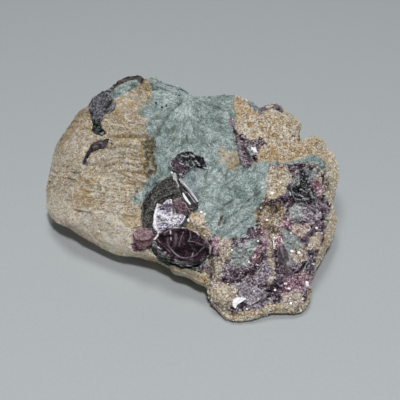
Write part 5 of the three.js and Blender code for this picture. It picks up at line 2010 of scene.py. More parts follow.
BOOKS: dict[str, tuple[str, tuple[Plate, ...]]] = {
    "book_cluster": ("dark_lepidolite", (
        Plate(((144, 226), (142, 216), (142, 206), (145.5, 197), (153, 188), (162, 181), (169, 177),
            (174.5, 175.5), (179, 183), (183, 191), (187, 198), (190, 207), (187, 212), (183, 219),
            (176, 224), (166, 228.5), (160, 233), (153, 233), (147, 230)), (160, 203), 6.1,
            (-0.08, 0.45, 0.89), Mica.CHARCOAL, 3.4, 9, 0.05, (0, 0), 0.4, 0.25, None, ((((146, 222),
            (145, 208), (151, 196), (162, 188), (172, 183)), 1.5, -0.35),), exposed=1.2, seed=12),
        Plate(((146, 226), (145, 214), (147, 204), (152, 195), (160, 188), (168, 183), (174, 181),
            (179, 188), (176, 193), (168, 195), (160, 198), (154, 203), (151, 210), (150.5, 222)),
            (160, 203), 6.8, (-0.08, 0.45, 0.89), Mica.CHARCOAL, 0.8, 4, 0.03, (0, 0), 0.5, 0.3, tone=0.1,
            exposed=0.0, seed=22),
        Plate(((153.5, 218), (155, 210), (157.5, 203.5), (161, 205), (164, 202.5), (167, 199.5),
            (171.5, 199.5), (173, 205), (175, 212), (181, 212.5), (187, 210.5), (185, 216), (182, 221),
            (178, 225), (172, 226), (166, 228), (161, 231.5), (159, 233.5), (155, 230), (152.5, 225)),
            (168, 214), 9.0, (-0.06, 0.37, 0.925), Mica.SILVER, 1.8, 5, 0.02, (0, 0), 0.25, 0.3, None,
            ((((158, 205), (156, 211), (155, 218), (155, 226), (158, 232)), 1.5, 1.0), (((159, 213),
            (164, 217), (170, 217.5), (177, 216), (184, 212.5)), 1.5, 0.75), (((158, 223), (165, 221.5),
            (172, 223), (178, 222)), 1.0, 0.6), (((171, 209), (172, 213), (170.5, 218)), 0.9, 0.7),
            (((165, 203), (168, 201)), 1.2, 0.8), (((161, 209), (168, 210), (173, 211)), 1.4, -0.4),
            (((162, 204), (172, 206)), 2.6, -0.8)), exposed=0.0, seed=13, spokes=160, rings=24, rim=1.0),
        Plate(((172, 202), (175, 199), (180, 198.5), (185, 203.5), (189, 210), (187, 215), (183, 214),
            (176, 214), (173, 208)), (180, 206), 8.3, (-0.07, 0.42, 0.9), Mica.RUSSET, 0.9, 3, 0.0, (0, 0),
            0.25, 0.2, None, ((((175, 200), (182, 201)), 2.0, 0.25),), exposed=0.0, seed=14),
        Plate(((152, 238), (151, 245), (153.5, 251), (158, 256.5), (164, 260.5), (173, 263.5), (184, 266.5),
            (195, 270.5), (202, 274), (200, 268), (195, 260), (184, 248), (164, 238)), (178, 256), 8.6,
            (0.02, 0.36, 0.93), Mica.STACK, 2.4, 8, 0.015, (-0.1, -0.06), 0.35, 0.1, None, ((((153.5, 246),
            (160, 255), (170, 261)), 0.5, 0.5), (((156, 243), (163, 252), (172, 258)), 0.5, 0.55),
            (((155, 251), (163, 260), (175, 265), (188, 268)), 0.5, 0.35), (((176, 262), (188, 266),
            (198, 268)), 0.5, 0.3)), tone=-0.3, exposed=2.2, seed=17, rim=1.0),
        # The two strongest pale marks on this plate, along its upper rim, are a painted highlight where the
        # edge meets the light.
        Plate(((153.5, 240), (157.5, 233.5), (163, 229), (169, 227), (178, 226), (188, 228), (196, 232),
            (202, 237), (209, 243), (214, 249), (212, 253.5), (207, 257), (200, 260.5), (192, 262),
            (183, 261.5), (173, 258), (164, 252.5), (156, 246)), (184, 245), 12.4, (0.06, 0.42, 0.905),
            Mica.PLUM, 3.2, 11, 0.0, (-0.24, -0.08), 0.35, 0.05, Mica.STACK, ((FRONT_RING, 0.42, 0.18),
            (((171, 249), (175, 253.5), (180, 257), (185, 258)), 0.45, 0.4), (((183.5, 232), (181, 238),
            (179, 246)), 0.4, 0.15), (((190, 228), (190.5, 237), (188.5, 241)), 0.4, 0.2), (((188, 241),
            (196, 242), (202, 245)), 0.4, 0.2), (((170.5, 231), (170.6, 233.5)), 0.6, 1.0), (((171, 237.5),
            (171, 240)), 0.5, 0.6), (((193, 253), (192, 256.5)), 0.4, 0.5), (((160, 232), (164, 228.3),
            (170, 226), (179, 224.8)), 0.8, 1.4), (((182, 225.5), (188, 227.5), (193, 230), (199, 231.3),
            (203, 236)), 0.8, 1.4), (((164, 233), (172, 228.5), (182, 228)), 0.4, 0.3), (((176, 235),
            (175, 246)), 1.4, 0.12), (((157, 239), (163, 245), (170, 252)), 0.4, 0.2), (((210.5, 246),
            (210, 253)), 0.7, 0.7), (((207, 240), (211, 244)), 1.8, 0.35), (((203, 249), (209, 252)), 2.6,
            -0.5), (((172, 240), (176, 250), (184, 254)), 2.4, -0.3), (((196, 247), (201, 252)), 2.2, -0.5),
            (((188, 234), (186, 246), (192, 250)), 2.4, -0.35), (((161, 236), (164, 240)), 1.4, -0.35)),
            exposed=3.6, seed=11, spokes=210, rings=32, rim=1.0),
        Plate(((173, 174), (175.2, 172.5), (176.5, 176), (177, 181), (179.5, 186), (178, 187.5),
            (175.2, 184), (173, 179)), (186, 192), 5.0, (0.05, 0.45, 0.89), Mica.PEARL, 1.6, 3, 0.0, (0, 0),
            0.1, 0.15, Mica.BLACK, exposed=0.3, seed=15, spokes=60, rings=8),
        Plate(((176.5, 173), (179, 172), (180.5, 179), (183, 188), (186, 197), (182, 198), (179, 190),
            (177.5, 181)), (186, 192), 4.8, (0.05, 0.45, 0.89), Mica.BLACK, 1.4, 3, 0.0, (0, 0), 0.15, 0.1,
            exposed=0.0, seed=16, spokes=50, rings=6),
        Plate(((178.5, 178.5), (181, 179.5), (186.5, 185.5), (191.5, 191), (196, 197), (198.5, 202),
            (196.4, 201.5), (191.2, 194.2), (185.7, 188.2), (180.8, 183)), (186, 192), 5.2,
            (0.05, 0.45, 0.89), Mica.PEARL, 1.6, 3, 0.0, (0, 0), 0.1, 0.15, Mica.BLACK, ((((182, 181.5),
            (190, 189.5), (197.5, 201)), 0.6, 0.8), (((183, 185), (190, 192)), 0.6, -0.9)), exposed=0.3,
            seed=17, spokes=80, rings=10),
        Plate(((184, 193), (187.5, 191.5), (192, 197), (196.5, 202.5), (199, 206), (194, 209.5),
            (188, 208.5), (185, 201)), (186, 192), 4.9, (0.05, 0.45, 0.89), Mica.BLACK, 1.4, 3, 0.0, (0, 0),
            0.15, 0.1, None, ((((188.5, 193.5), (195, 202.5)), 0.4, 0.9),), exposed=0.0, seed=20, spokes=60,
            rings=8),
        Plate(((182.4, 192.5), (183.6, 193), (187.6, 198.8), (191, 203.8), (190.2, 205), (186.4, 201),
            (183, 196)), (186, 192), 5.3, (0.05, 0.45, 0.89), Mica.WHITE, 1.0, 3, 0.0, (0, 0), 0.06, 0.1,
            Mica.BLACK, exposed=0.0, seed=19, spokes=50, rings=7),
    )),
    "upper_book": ("charcoal_lepidolite", (
        Plate(((178, 154), (184, 151.5), (191, 152), (196, 155), (202, 156), (206, 162), (208, 168),
            (204, 168), (199, 163), (193, 166), (187, 170), (184, 174), (178, 172), (172, 168), (170, 163),
            (174, 158)), (189, 163), 1.4, (0.05, 0.46, 0.89), Mica.COAL, 3.8, 9, 0.03, (0, 0), 0.55, 0.35,
            None, ((((177, 161.5), (181, 163.5), (186.5, 165.5)), 0.5, 0.8), (((181, 155), (187, 157)), 0.5,
            0.45), (((190, 154.5), (194, 156.5)), 0.6, 0.7), (((186, 161), (189, 166)), 0.5, 0.5),
            (((196, 161), (199, 164)), 0.5, 0.5), (((191, 160), (195, 166)), 0.5, 0.45), (((198, 156),
            (202, 163)), 2.0, -0.6), (((178, 154), (189, 151.5)), 1.6, -0.5), (((183, 159), (194, 160)),
            1.5, -0.3)), tone=-0.25, exposed=1.4, seed=21),
        Plate(((171, 162), (176, 159), (182, 161), (186, 165), (185, 172), (179, 173), (173, 168)),
            (178, 166), 2.2, (0.1, 0.5, 0.86), Mica.DUSK, 0.8, 3, 0.0, (0, 0), 0.4, 0.25, exposed=0.0,
            seed=23),
        Plate(((183, 153), (190, 152), (194, 156), (190, 160), (184, 158)), (189, 156), -1.0,
            (0.2, 0.5, 0.84), Mica.COAL, 1.0, 4, 0.0, (0, 0), 0.4, 0.2, exposed=0.0, seed=24),
    )),
    "shoulder_book": ("grey_lepidolite", (
        Plate(((88, 110), (89, 104), (92, 98), (97, 95), (105, 92), (110, 94), (112.5, 99), (112, 104),
            (108, 108), (104, 111), (102, 117), (95, 120), (91, 117)), (98, 112), -18.0, (-0.5, 0.62, 0.6),
            Mica.GREY, 2.2, 5, 0.0, (0, 0), 0.35, 0.12, None, ((((95, 98), (101, 97.5), (105, 100),
            (104.5, 105), (98, 106)), 0.6, 0.4), (((97, 111), (105, 109)), 0.6, 0.35), (((93.5, 99),
            (94, 104), (99, 109)), 0.5, 0.3), (((106.5, 107), (110, 104.5), (112, 101)), 1.6, -0.7),
            (((90, 112), (93, 114)), 1.0, -0.6), (((89, 105), (92, 99)), 0.8, -0.6)), exposed=1.4, seed=31),
        Plate(((91, 117), (95, 119), (101, 116), (100, 122), (102, 128), (105, 131), (101, 134), (95, 132),
            (91, 130), (93, 124)), (98, 126), -12.6, (-0.3, 0.7, 0.65), Mica.STACK, 3.0, 6, 0.0, (0, 0),
            0.5, 0.2, exposed=0.8, seed=32),
    )),
    "crest_plate": ("grey_lepidolite", (
        *(loose(outline, Mica.GREY, 0.4) for outline in (((103, 97), (106, 91.5), (110, 88), (114, 86),
            (115, 89), (111, 92.5), (107, 96.5)), ((112, 87.5), (117, 83), (123, 79.8), (126, 81.5),
            (121, 85), (115, 89)), ((122, 81.5), (127, 78.4), (133, 76.3), (136, 79), (131, 81.3),
            (125, 83.3)), ((131, 78.5), (136, 75.8), (140, 76.8), (143, 80), (140, 82), (136, 80.3),
            (132, 81.3)))),
    )),
    "left_flake": ("charcoal_lepidolite", (
        Plate(((87.6, 151.5), (90, 146), (94, 143), (97, 141), (102, 140.5), (108.5, 138.5), (107.5, 143),
            (105, 147.5), (99, 149), (94, 150.5), (90, 154.5), (86, 160), (83.4, 163.5), (82, 162.5),
            (84.6, 156.5)), (98, 146), -8.1, (-0.05, 0.35, 0.93), Mica.DUSK, 2.2, 5, 0.0, (0, 0), 0.35,
            0.25, None, ((((82, 163), (87, 155), (91, 151)), 2.2, -1.4), (((106, 140), (106, 147)), 1.6,
            -0.8), (((95, 144), (101, 142.5)), 0.8, 0.35), (((93, 147), (99, 146.5)), 0.6, 0.25)), -0.3,
            exposed=0.6, seed=51),
    )),
    "rose_book": ("rose_lepidolite", (
        Plate(((133, 234), (136, 230), (141, 228), (147, 228), (152, 230), (154, 235), (153, 240),
            (150, 245), (144, 248), (138, 246), (134, 241)), (143, 237), 9.9, (-0.12, 0.3, 0.94), Mica.ROSE,
            2.0, 5, 0.0, (0, 0), 0.3, 0.2, tone=-0.2, exposed=1.2, seed=62),
        Plate(((133, 233), (136, 229.5), (141, 227.5), (147, 228), (152, 231), (153, 235), (149, 239),
            (142, 240.5), (136, 239)), (143, 236), 10.8, (-0.12, 0.42, 0.9), Mica.ROSE, 0.9, 3, 0.0, (0, 0),
            0.25, 0.1, tone=0.15, exposed=0.0, seed=61),
    )),
    "vein_book": ("silver_lepidolite", (
        Plate(((237, 134), (241, 137), (245, 143), (248, 149), (251, 155), (254, 160), (251, 164),
            (244, 165), (240, 158), (238, 147)), (247, 150), -2.2, (0.1, 0.73, 0.66), Mica.VIOLET, 3.0, 7,
            0.0, (0, 0), 0.35, 0.3, None, ((((245, 148), (249, 160)), 2.0, -0.5), (((239, 141), (241, 154),
            (243, 163)), 0.8, 0.45)), exposed=0.8, seed=71),
        Plate(((246.5, 147), (251, 145), (254, 149), (253.5, 155), (250, 158), (247.5, 153)), (250, 152),
            -1.7, (0.1, 0.55, 0.83), Mica.SAGE, 1.0, 4, 0.0, (0, 0), 0.25, 0.2, exposed=0.0, seed=72),
        # A painted glint: a near-white plate.
        Plate(((251, 146.5), (253.5, 147.6), (255.5, 146.3), (256.4, 149.4), (257.8, 152.4), (254.6, 151.6),
            (252, 150)), (254, 149), -2.3, (0.05, 0.4, 0.91), Mica.WHITE, 0.5, 2, 0.0, (0, 0), 0.2, 0.1,
            exposed=0.0, seed=73, spokes=50, rings=6),
        Plate(((247, 142), (254, 140), (263, 140), (262, 144), (256, 147), (250, 146)), (255, 143), -5.6,
            (0.1, 0.6, 0.79), Mica.VIOLET, 1.0, 4, 0.0, (0, 0), 0.4, 0.2, exposed=0.3, seed=74),
    )),
    "dark_book": ("dark_lepidolite", (
        Plate(((300, 166.5), (307, 165.5), (309.5, 172), (307.5, 181), (310, 186), (314, 192), (317.5, 200),
            (311, 203), (304, 203.5), (297, 201), (292, 196.5), (289, 189), (293, 185.5), (299, 186),
            (301, 180), (299, 173)), (301, 190), 2.7, (0.08, 0.25, 0.965), Mica.COAL, 2.2, 7, 0.03, (0, 0),
            0.7, 0.5, None, ((((292, 191), (297, 195.5)), 0.4, 0.6), (((297, 193.5), (303, 196.5)), 0.4,
            0.7), (((300, 189), (307, 192.5)), 0.4, 0.6), (((296, 199), (301, 200)), 0.4, 0.5),
            (((303, 198), (309, 199.5)), 0.4, 0.6), (((300, 186), (294, 194), (300, 199)), 1.6, -0.5),
            (((305, 168), (308, 173)), 1.2, 0.3), (((309, 190), (313, 197)), 1.2, 0.25)), tone=-0.3,
            exposed=1.0, seed=81),
    )),
    "edge_book": ("silver_lepidolite", (
        Plate(((315, 199), (320, 202), (326, 205), (330.5, 208), (329.5, 212), (324, 214), (318, 209),
            (313, 204)), (322, 207), 2.0, (0.5, 0.3, 0.81), Mica.VIOLET, 2.8, 6, 0.0, (0, 0), 0.3, 0.15,
            None, ((((315, 200), (322, 204), (329, 208)), 1.2, 0.35),), tone=-0.1, exposed=0.8, seed=91),
    )),
}
# The CAD's crystal nodes: a material slot name for each, which nothing reads, and the plates that make it up.
"""The CAD's crystal nodes: the material slot of each and the plates that make it up."""

GLINTS: tuple[tuple[float, float, float], ...] = (
    (184, 150.5, 1.2), (195.5, 160, 1.1), (190, 168, 1.3), (206, 167, 1.1), (172, 172.5, 1.2),
    (169, 177.5, 1.6), (188, 219.5, 1.8), (201, 212, 1.4), (205, 214, 1.4), (211, 239, 1.1),
    (303, 173, 1.2), (262, 232.5, 1.4), (262, 224, 1.1), (292, 251, 1.8), (299, 252.5, 2.2),
    (289, 288.5, 2.0), (254, 291, 1.6), (267, 220, 1.1), (316.5, 228, 1.3), (317, 233, 1.4),
    (309, 245, 1.4), (247, 309, 1.3), (272, 193, 1.4), (310, 256, 1.8), (283, 172, 1.0), (296, 302, 1.2),
    (312, 247, 1.2), (222, 274, 1.0), (232, 250, 1.0), (258, 241, 1.1), (249, 262, 1.0), (297, 222, 1.0),
    (321, 190, 1.1), (318, 176, 1.2), (280, 182, 1.0), (275, 290, 1.1), (264, 283, 0.9), (304, 293, 1.1),
    (228, 284, 1.1),
)
# Places and sizes, in squares, of the painted glints: near-white specks for the brightest cleavage faces,
# turned to the key light.
"""Places and sizes of the brightest cleavage faces, in squares."""

PITS: tuple[tuple[float, float, float], ...] = (
    (156, 103, 1.1), (162, 107, 1.3), (166.5, 105, 1.2), (168, 108.5, 0.9), (158, 127, 1.1),
    (147, 131, 0.9), (179, 95, 1.0), (257, 141, 1.4), (252, 143, 1.2), (293, 135.5, 1.2), (260, 275, 1.2),
    (247, 273, 1.3), (153, 152, 1.4), (297, 192, 1.2), (276, 268, 1.2), (270, 239, 1.0), (300, 262, 1.0),
    (216, 279, 1.0), (268, 296, 1.1),
)
"""Places and sizes of the small dark crystals, in squares."""

LOOSE: tuple[Plate, ...] = (
    # The two near-white plates here are painted glints, turned to the key light.
    loose(((233, 300), (237, 298), (243, 297.5), (246.5, 299), (241.5, 302), (237.5, 304), (235.5, 308.5),
        (232.5, 306)), Mica.WHITE, 1.5),
    loose(((303, 283), (306, 280.5), (309, 281.5), (309.5, 285.5), (306, 288), (303, 286)), Mica.WHITE,
        0.4),
    loose(((303, 239), (306, 233), (312, 227), (318, 220), (321, 220), (319, 225.5), (314, 231),
        (309, 236.5), (305, 240.5)), Mica.DUSK, 0.7, (-0.2, 0.1), ((((306, 236), (317, 223)), 0.8, 0.35),),
        1.4),
    loose(((301, 208), (308, 207), (315, 208), (321, 213.5), (320.5, 219), (314, 221.5), (306, 222),
        (301, 217)), Mica.LILAC, 0.4, (0.05, 0.1), ((((311, 208), (318, 216)), 1.2, -0.3),)),
    loose(((289, 208), (296, 204), (302, 207), (301, 217), (294, 219), (289.5, 214)), Mica.SAGE, 0.3),
    loose(((292, 226), (300, 223.5), (308, 223.5), (311, 228), (305, 236), (298, 236), (291.5, 231.5)),
        Mica.SAND, 0.3),
    loose(((278.5, 245), (283, 242), (286, 249), (289.5, 259), (289, 268), (284, 264), (278.5, 260)),
        Mica.DUSK, 0.4, (0.1, 0.0), ((((280, 258), (285, 260)), 1.6, -0.7), (((281, 245), (283, 256),
        (287, 264)), 0.8, 0.3))),
    loose(((279.5, 266), (286, 264.5), (293, 268), (294, 275), (288, 278.5), (281, 275.5)), Mica.DUSK,
        0.35),
    loose(((257, 273), (264, 263), (272, 262.5), (274.5, 269.5), (268, 280), (258, 284.5)), Mica.LILAC,
        0.35, (0.1, 0.1)),
    loose(((240, 288), (250, 284), (261, 289.5), (260, 299), (250, 305), (241, 301)), Mica.LILAC, 0.3,
        (-0.05, 0.1), ((((243, 292), (256, 296)), 3.0, -0.3),)),
    loose(((226, 264), (236, 266), (243, 271.5), (237, 280), (226, 276), (218.5, 270)), Mica.VIOLET, 0.3),
    loose(((287, 277), (297, 274), (306, 277.5), (305, 285), (296, 289.5), (287, 285.5)), Mica.RUBY, 0.3,
        (0.1, 0.0)),
    loose(((273, 237), (280, 235.5), (283.5, 243.5), (281, 250), (274, 249)), Mica.RUBY, 0.35),
    loose(((307, 252), (313, 249.5), (317, 255), (315, 264), (309, 263)), Mica.LILAC, 0.45, (0.15, 0.1)),
    loose(((300, 275), (303, 266), (308, 258.5), (310.5, 261), (306.5, 269), (303.5, 277)), Mica.BLACK, 0.4,
        (-0.2, 0.0), ((((303, 271), (308, 261)), 0.6, 0.8),)),
    loose(((310, 182), (316, 179.5), (322, 184.5), (322.5, 194), (316.5, 198.5), (311.5, 191)), Mica.ROSE,
        0.3),
    loose(((308, 180), (312, 184), (318.5, 196), (322, 202.5), (316, 200), (310, 190)), Mica.DUSK, 0.6,
        (-0.1, 0.0)),
    loose(((294, 180), (299, 176), (303, 178.5), (301.5, 186), (296.5, 189.5), (293, 185.5)), Mica.SAGE,
        0.5),
    loose(((262, 304), (268, 298.5), (273.5, 296.5), (271, 301), (265, 305.5)), Mica.PEARL, 0.4, (0, 0.2),
        ((((264, 304), (271, 300)), 1.0, -0.8),)),
    loose(((224, 238), (231, 238.5), (233, 243), (229, 248), (223.5, 245)), Mica.SAND, 0.2),
    loose(((190, 265), (198, 263), (208, 262), (207, 268), (200, 273), (193, 270)), Mica.LILAC, 0.7),
    loose(((257, 110), (262, 106.8), (268, 104.3), (275, 103.4), (281, 106), (283.5, 109), (276, 107.8),
        (270, 108.6), (265, 111), (260, 112.5)), Mica.VIOLET, 0.2, (0, 0.1)),
    loose(((230, 117), (233.5, 117.5), (235.5, 122), (234, 126.5), (230.5, 124)), Mica.RUBY, 0.2),
    loose(((247, 228), (253, 226), (256, 230), (252, 236), (246, 235)), Mica.DUSK, 0.25),
    # Painted glints, then the small dark crystals.
    *(loose(speck(x, y, 0.8 * r), Mica.WHITE, 0.5) for x, y, r in GLINTS),
    *(loose(speck(x, y, 0.75 * r), Mica.BLACK, 0.2) for x, y, r in PITS),
)
"""Single plates that no CAD node stands for."""


# ------------------------------------------------------------------ flakes and grains


class Crumb(Enum):
    """The shapes of the loose crumbs that stand on the block, each of radius 1."""

    PLATE = "plate"
    GRAIN = "grain"

    def mesh(self) -> tuple[Array, Faces]:
        """Gives the shape's points and triangles."""
        return self.plate() if self is Crumb.PLATE else self.grain()

    @staticmethod
    def plate() -> tuple[Array, Faces]:
        """Makes a six-sided plate.

        Returns:
            Its points and triangles.
        """
        turn = np.arange(6) * math.pi / 3
        ring = np.stack([np.cos(turn), np.sin(turn)], -1)
        points = np.vstack([
            np.column_stack([ring, np.full(6, 1.0)]), np.column_stack([ring, np.full(6, -1.0)]),
            [[0, 0, 1], [0, 0, -1]],
        ])
        i = np.arange(6)
        j = (i + 1) % 6
        top, low = np.full(6, 12), np.full(6, 13)
        corners = ([top, i, j], [low, j + 6, i + 6], [i, i + 6, j + 6], [i, j + 6, j])
        return points, np.vstack([np.stack(three, 1) for three in corners])

    @staticmethod
    def grain() -> tuple[Array, Faces]:
        """Makes an icosahedron, its corners those of three golden rectangles.

        Returns:
            Its points and triangles.
        """
        g = (1 + math.sqrt(5)) / 2
        points = np.array([
            (-1, g, 0), (1, g, 0), (-1, -g, 0), (1, -g, 0), (0, -1, g), (0, 1, g), (0, -1, -g), (0, 1, -g),
            (g, 0, -1), (g, 0, 1), (-g, 0, -1), (-g, 0, 1),
        ]) / math.hypot(1, g)
        faces = np.array([
            (0, 11, 5), (0, 5, 1), (0, 1, 7), (0, 7, 10), (0, 10, 11), (1, 5, 9), (5, 11, 4), (11, 10, 2),
            (10, 7, 6), (7, 1, 8), (3, 9, 4), (3, 4, 2), (3, 2, 6), (3, 6, 8), (3, 8, 9), (4, 9, 5),
            (2, 4, 11), (6, 2, 10), (8, 6, 7), (9, 8, 1),
        ])
        return points, faces


@dataclass(frozen=True)
class Scatter:
    """Crumbs strewn over one mineral of the block, sunk part of the way into it.

    Attributes:
        name: the piece's name.
        rocks: the minerals that it lies on.
        crumb: the crumbs' shape.
        count: how many there are.
        size: the smallest and largest radius, in millimetres.
        flat: thickness as a share of the radius.
        tilt: how far a crumb turns away from the surface: 0 lies flat, 1 may stand on edge.
        lift: how far its middle is above the surface, as a share of its radius.
        tone: lowest and highest tone.
        seed: seeds its own source of chance.
        long: length as a share of the width.
        cluster: the size of the clusters they lie in, in millimetres, or 0 for none.
        local: how much of their tone comes from the block beneath.
    """

    MOSTLY_SMALL = 2.2
    WORN = 0.28

    name: str
    rocks: tuple[Rock, ...]
    crumb: Crumb
    count: int
    size: tuple[float, float]
    flat: float
    tilt: float
    lift: float
    tone: tuple[float, float]
    seed: int
    long: float = 1.0
    cluster: float = 0.0
    local: float = 0.35

    def build(self, block: Block) -> bpy.types.Object:
        """Places the crumbs.

        A crumb's frame has z along the surface's normal plus tilt times a random direction, and x
        across it at random, or along the mica's fibres where the crumbs are long.

        Args:
            block: the finished block.

        Returns:
            The piece, with no material yet.
        """
        rng = np.random.default_rng(self.seed)
        share = sum(block.weights[rock] for rock in self.rocks) ** 2 * block.areas
        if self.cluster > 0:
            share = share * smoothstep(Noise.fractal(block.points, self.cluster, 2, self.seed), -0.1, 0.3)
        picked = rng.choice(len(share), self.count, p=share / share.sum())
        small, large = self.size
        radius = small + (large - small) * rng.random(self.count) ** self.MOSTLY_SMALL
        z = unit(block.normals[picked] + self.tilt * rng.normal(0, 0.6, (self.count, 3)))
        along = rng.normal(0, 1, (self.count, 3))
        if self.long > 1:
            along = block.fibres[picked] + rng.normal(0, 0.25, (self.count, 3))
        x = unit(np.cross(np.cross(z, along), z))
        frame = np.stack([x, np.cross(z, x), z], axis=1)
        shape, faces = self.crumb.mesh()
        local = shape * np.array([self.long, 1.0, self.flat]) * radius[:, None, None]
        local = local * (1.0 + rng.uniform(-self.WORN, self.WORN, (self.count, len(shape), 1)))
        centre = block.points[picked] + block.normals[picked] * (self.lift * radius)[:, None]
        points = np.einsum("nvi,nij->nvj", local, frame) + centre[:, None, :]
        points[..., 2] = np.maximum(points[..., 2], Parts.LOWEST)
        index = faces[None] + (np.arange(self.count) * len(shape))[:, None, None]
        tone = lerp(rng.uniform(*self.tone, self.count), block.tone[picked], self.local)
        tone, warm = (np.repeat(values, len(shape)) for values in (tone, block.warm[picked] + tone * 0.3))
        attributes = {"tone": tone, "mark": np.zeros(len(tone)), "warm": warm}
        return put_mesh(self.name, points.reshape(-1, 3), index.reshape(-1, 3), attributes, smooth=False)


SCATTERS: tuple[tuple[Scatter, Mica | Rock, str], ...] = (
    (Scatter("mica_flakes", (Rock.PURPLE,), Crumb.PLATE, 7600, (0.1, 0.46), 0.14, 0.75, 0.1, (-0.5, 1.1),
        201, 2.0, 0.0, 0.3), Mica.FLAKE, "rose_lepidolite"),
    (Scatter("dark_blades", (Rock.PURPLE,), Crumb.PLATE, 300, (0.12, 0.36), 0.14, 0.5, 0.1, (-0.5, 0.5),
        210, 4.0, 3.0, 0.0), Mica.BLACK, "dark_lepidolite"),
    (Scatter("sage_flakes", (Rock.SAGE,), Crumb.PLATE, 380, (0.14, 0.6), 0.14, 0.5, 0.0, (0.1, 1.0), 209,
        2.2, 0.0, 0.3), Mica.SAGE, "pegmatite"),
    (Scatter("blush_flakes", (Rock.ROSE, Rock.ROSE, Rock.PALE), Crumb.PLATE, 1700, (0.12, 0.5), 0.14, 0.75,
        0.1, (-0.1, 1.1), 206, 1.3, 0.0, 0.1), Mica.BLUSH, "rose_lepidolite"),
    # The light tone of these crumbs is painted sparkle; their random tilts also catch the key light.
    (Scatter("mica_glints", (Rock.PURPLE, Rock.PALE, Rock.ROSE, Rock.LILAC, Rock.RUST, Rock.SAGE),
        Crumb.PLATE, 1900, (0.08, 0.26), 0.2, 0.8, 0.6, (0.7, 1.4), 202), Mica.FLAKE, "rose_lepidolite"),
    (Scatter("albite_grains", (Rock.GRANULAR,), Crumb.GRAIN, 5200, (0.2, 0.5), 0.8, 0.8, 0.1, (0.1, 1.15),
        203), Rock.GRANULAR, "pegmatite"),
    (Scatter("cream_grains", (Rock.PALE,), Crumb.GRAIN, 1800, (0.16, 0.5), 0.8, 0.8, 0.1, (0.0, 1.2), 208),
        Rock.PALE, "pegmatite"),
    (Scatter("albite_crumbs", (Rock.PURPLE, Rock.ROSE, Rock.RUST), Crumb.GRAIN, 1000, (0.12, 0.4), 0.8, 0.8,
        0.2, (0.1, 1.1), 204, 1.0, 4.0), Rock.PALE, "pegmatite"),
    (Scatter("green_scales", (Rock.GREEN,), Crumb.PLATE, 4600, (0.1, 0.34), 0.25, 0.35, -0.1, (0.15, 0.95),
        205, 3.6, 0.0, 0.65), Rock.GREEN, "pegmatite"),
    (Scatter("feldspar_splinters", (Rock.FELDSPAR,), Crumb.GRAIN, 6000, (0.12, 0.32), 0.6, 0.5, 0.0,
        (0.2, 1.0), 207, 2.4, 0.0, 0.5), Rock.FELDSPAR, "pegmatite"),
)
# Each scatter with its finish and a material slot name, which nothing reads.
"""Each scatter with its finish and its material slot."""

CRUMB_BUMPS = (1900.0, 0.4)


def crumb_material(finish: Mica | Rock) -> bpy.types.Material:
    """Gives a scatter's material: a mica's own, or a mineral's colours by the crumb's tone.

    Args:
        finish: what the crumbs are made of.

    Returns:
        The material.
    """
    if isinstance(finish, Mica):
        return material_for(finish)
    material, graph, shader = new_material(f"{finish.name.lower()}_crumbs", {"Roughness": 0.6}, CRUMB_BUMPS)
    colour = finish.value.colour(graph, graph.attribute("tone"))
    if finish is not Rock.GREEN:
        colour = Weather().apply(graph, colour)
    graph.feed(shader.inputs["Base Color"], colour)
    return material


# ------------------------------------------------------------------ the room


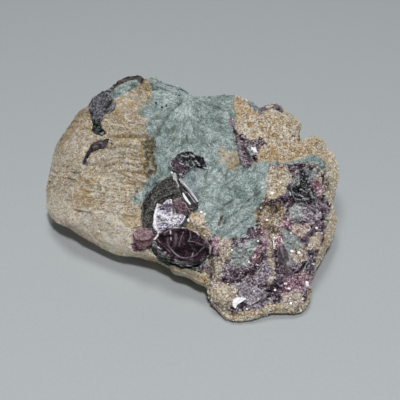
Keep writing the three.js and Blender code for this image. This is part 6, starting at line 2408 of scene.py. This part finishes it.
@dataclass(frozen=True)
class Studio:
    """The pale floor, the soft lights and the camera."""

    floor_side: float = 6.0
    sensor: float = 36.0
    aim: tuple[float, float, float] = (0.0, 0.0, 0.02)
    floor_colours: tuple[Colour, Colour] = ((181, 187, 191), (191, 197, 201))
    surround: tuple[float, float, float, float] = (0.92, 0.96, 1.0, 1.0)
    surround_strength: float = 0.06

    def floor(self) -> None:
        """Lays a plain pale floor."""
        half = self.floor_side / 2 / MM
        corners = np.array([[-half, -half, 0], [half, -half, 0], [half, half, 0], [-half, half, 0]])
        floor = put_mesh("floor", corners, np.array([[0, 1, 2, 3]]))
        values = {"Roughness": 0.9, "Specular IOR Level": 0.1}
        material, graph, shader = new_material("pale_floor", values)
        colour = graph.mix(graph.noise(900.0, 2.0), *map(to_linear, self.floor_colours))
        graph.feed(shader.inputs["Base Color"], colour)
        floor.data.materials.append(material)

    def light(self, name: str, at: tuple[float, float, float], size: float, power: float,
              colour: tuple[float, float, float]) -> None:
        """Hangs a soft square light that faces the specimen.

        Args:
            name: its name.
            at: its place, in metres.
            size: its side, in metres.
            power: in watts.
            colour: linear red, green and blue.
        """
        lamp = bpy.data.lights.new(name, "AREA")
        lamp.shape, lamp.size, lamp.energy, lamp.color = "SQUARE", size, power, colour
        holder = bpy.data.objects.new(name, lamp)
        x, y, z = unit(np.array(self.aim) - np.array(at))
        holder.location = at
        holder.rotation_euler = (math.acos(-z), 0.0, math.atan2(-x, y))
        bpy.context.collection.objects.link(holder)

    def lights(self) -> None:
        """Sets the key, a fill from the front, lights overhead and behind, and an even surround."""
        self.light("key", (0.03, -0.39, 0.64), 0.055, 3.05, (1.0, 0.99, 0.97))
        self.light("fill", (-0.25, -0.72, 0.16), 0.4, 0.15, (1.0, 0.99, 0.98))
        self.light("overhead", (-0.05, -0.03, 0.75), 0.2, 1.7, (1.0, 0.99, 0.96))
        self.light("back", (0.1, 0.6, 0.45), 0.5, 0.4, (0.96, 0.98, 1.0))
        world = bpy.data.worlds.new("surround")
        world.use_nodes = True
        background = world.node_tree.nodes["Background"]
        background.inputs["Color"].default_value = self.surround
        background.inputs["Strength"].default_value = self.surround_strength
        bpy.context.scene.world = world
        bpy.context.scene.view_settings.view_transform = "Standard"

    def camera(self) -> None:
        """Puts the camera at the layout sheet's eye."""
        lens = bpy.data.cameras.new("camera")
        lens.sensor_width = self.sensor
        lens.lens = self.sensor * SHEET.eye / (SHEET.across * SHEET.square)
        lens.clip_start = 0.01
        holder = bpy.data.objects.new("camera", lens)
        holder.location = SHEET.to_row(np.array([0.0, 0.0, SHEET.eye])) * MM
        holder.rotation_euler = (SHEET.lean, 0.0, 0.0)
        bpy.context.collection.objects.link(holder)
        bpy.context.scene.camera = holder


# ------------------------------------------------------------------ the whole


def report(piece: bpy.types.Object, nodes: tuple[str, ...]) -> None:
    """Fastens a piece to the frame and says so.

    Args:
        piece: the finished piece.
        nodes: the CAD nodes that it stands for.
    """
    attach(piece, "root")
    if nodes:
        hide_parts(*nodes)
    LOG.info("%s: %d faces for %s", piece.name, len(piece.data.polygons), nodes or "the block")


def stack(name: str, plates: tuple[Plate, ...], block: Block) -> bpy.types.Object:
    """Makes one piece of several plates, each in its place on the block.

    Args:
        name: the piece's name.
        plates: the plates.
        block: the finished block.

    Returns:
        The piece.
    """
    parts = Parts()
    for plate in plates:
        plate.settle(block).add_to(parts)
    return parts.build(name)


def main() -> None:
    """Builds the specimen and its room."""
    logging.basicConfig(level=logging.INFO, format="%(name)s %(message)s")
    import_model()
    studio = Studio()
    studio.camera()
    studio.floor()
    studio.lights()

    block = Block()
    surface = block.build()
    surface.data.materials.append(BlockFinish().build())
    report(surface, ("matrix",))
    for node, (slot, plates) in BOOKS.items():
        report(stack(f"{node}_sheets", plates, block), (node,))
    for scatter, finish, slot in SCATTERS:
        piece = scatter.build(block)
        piece.data.materials.append(crumb_material(finish))
        report(piece, ())
    report(stack("loose_plates", LOOSE, block), ())


if __name__ == "__main__":
    main()
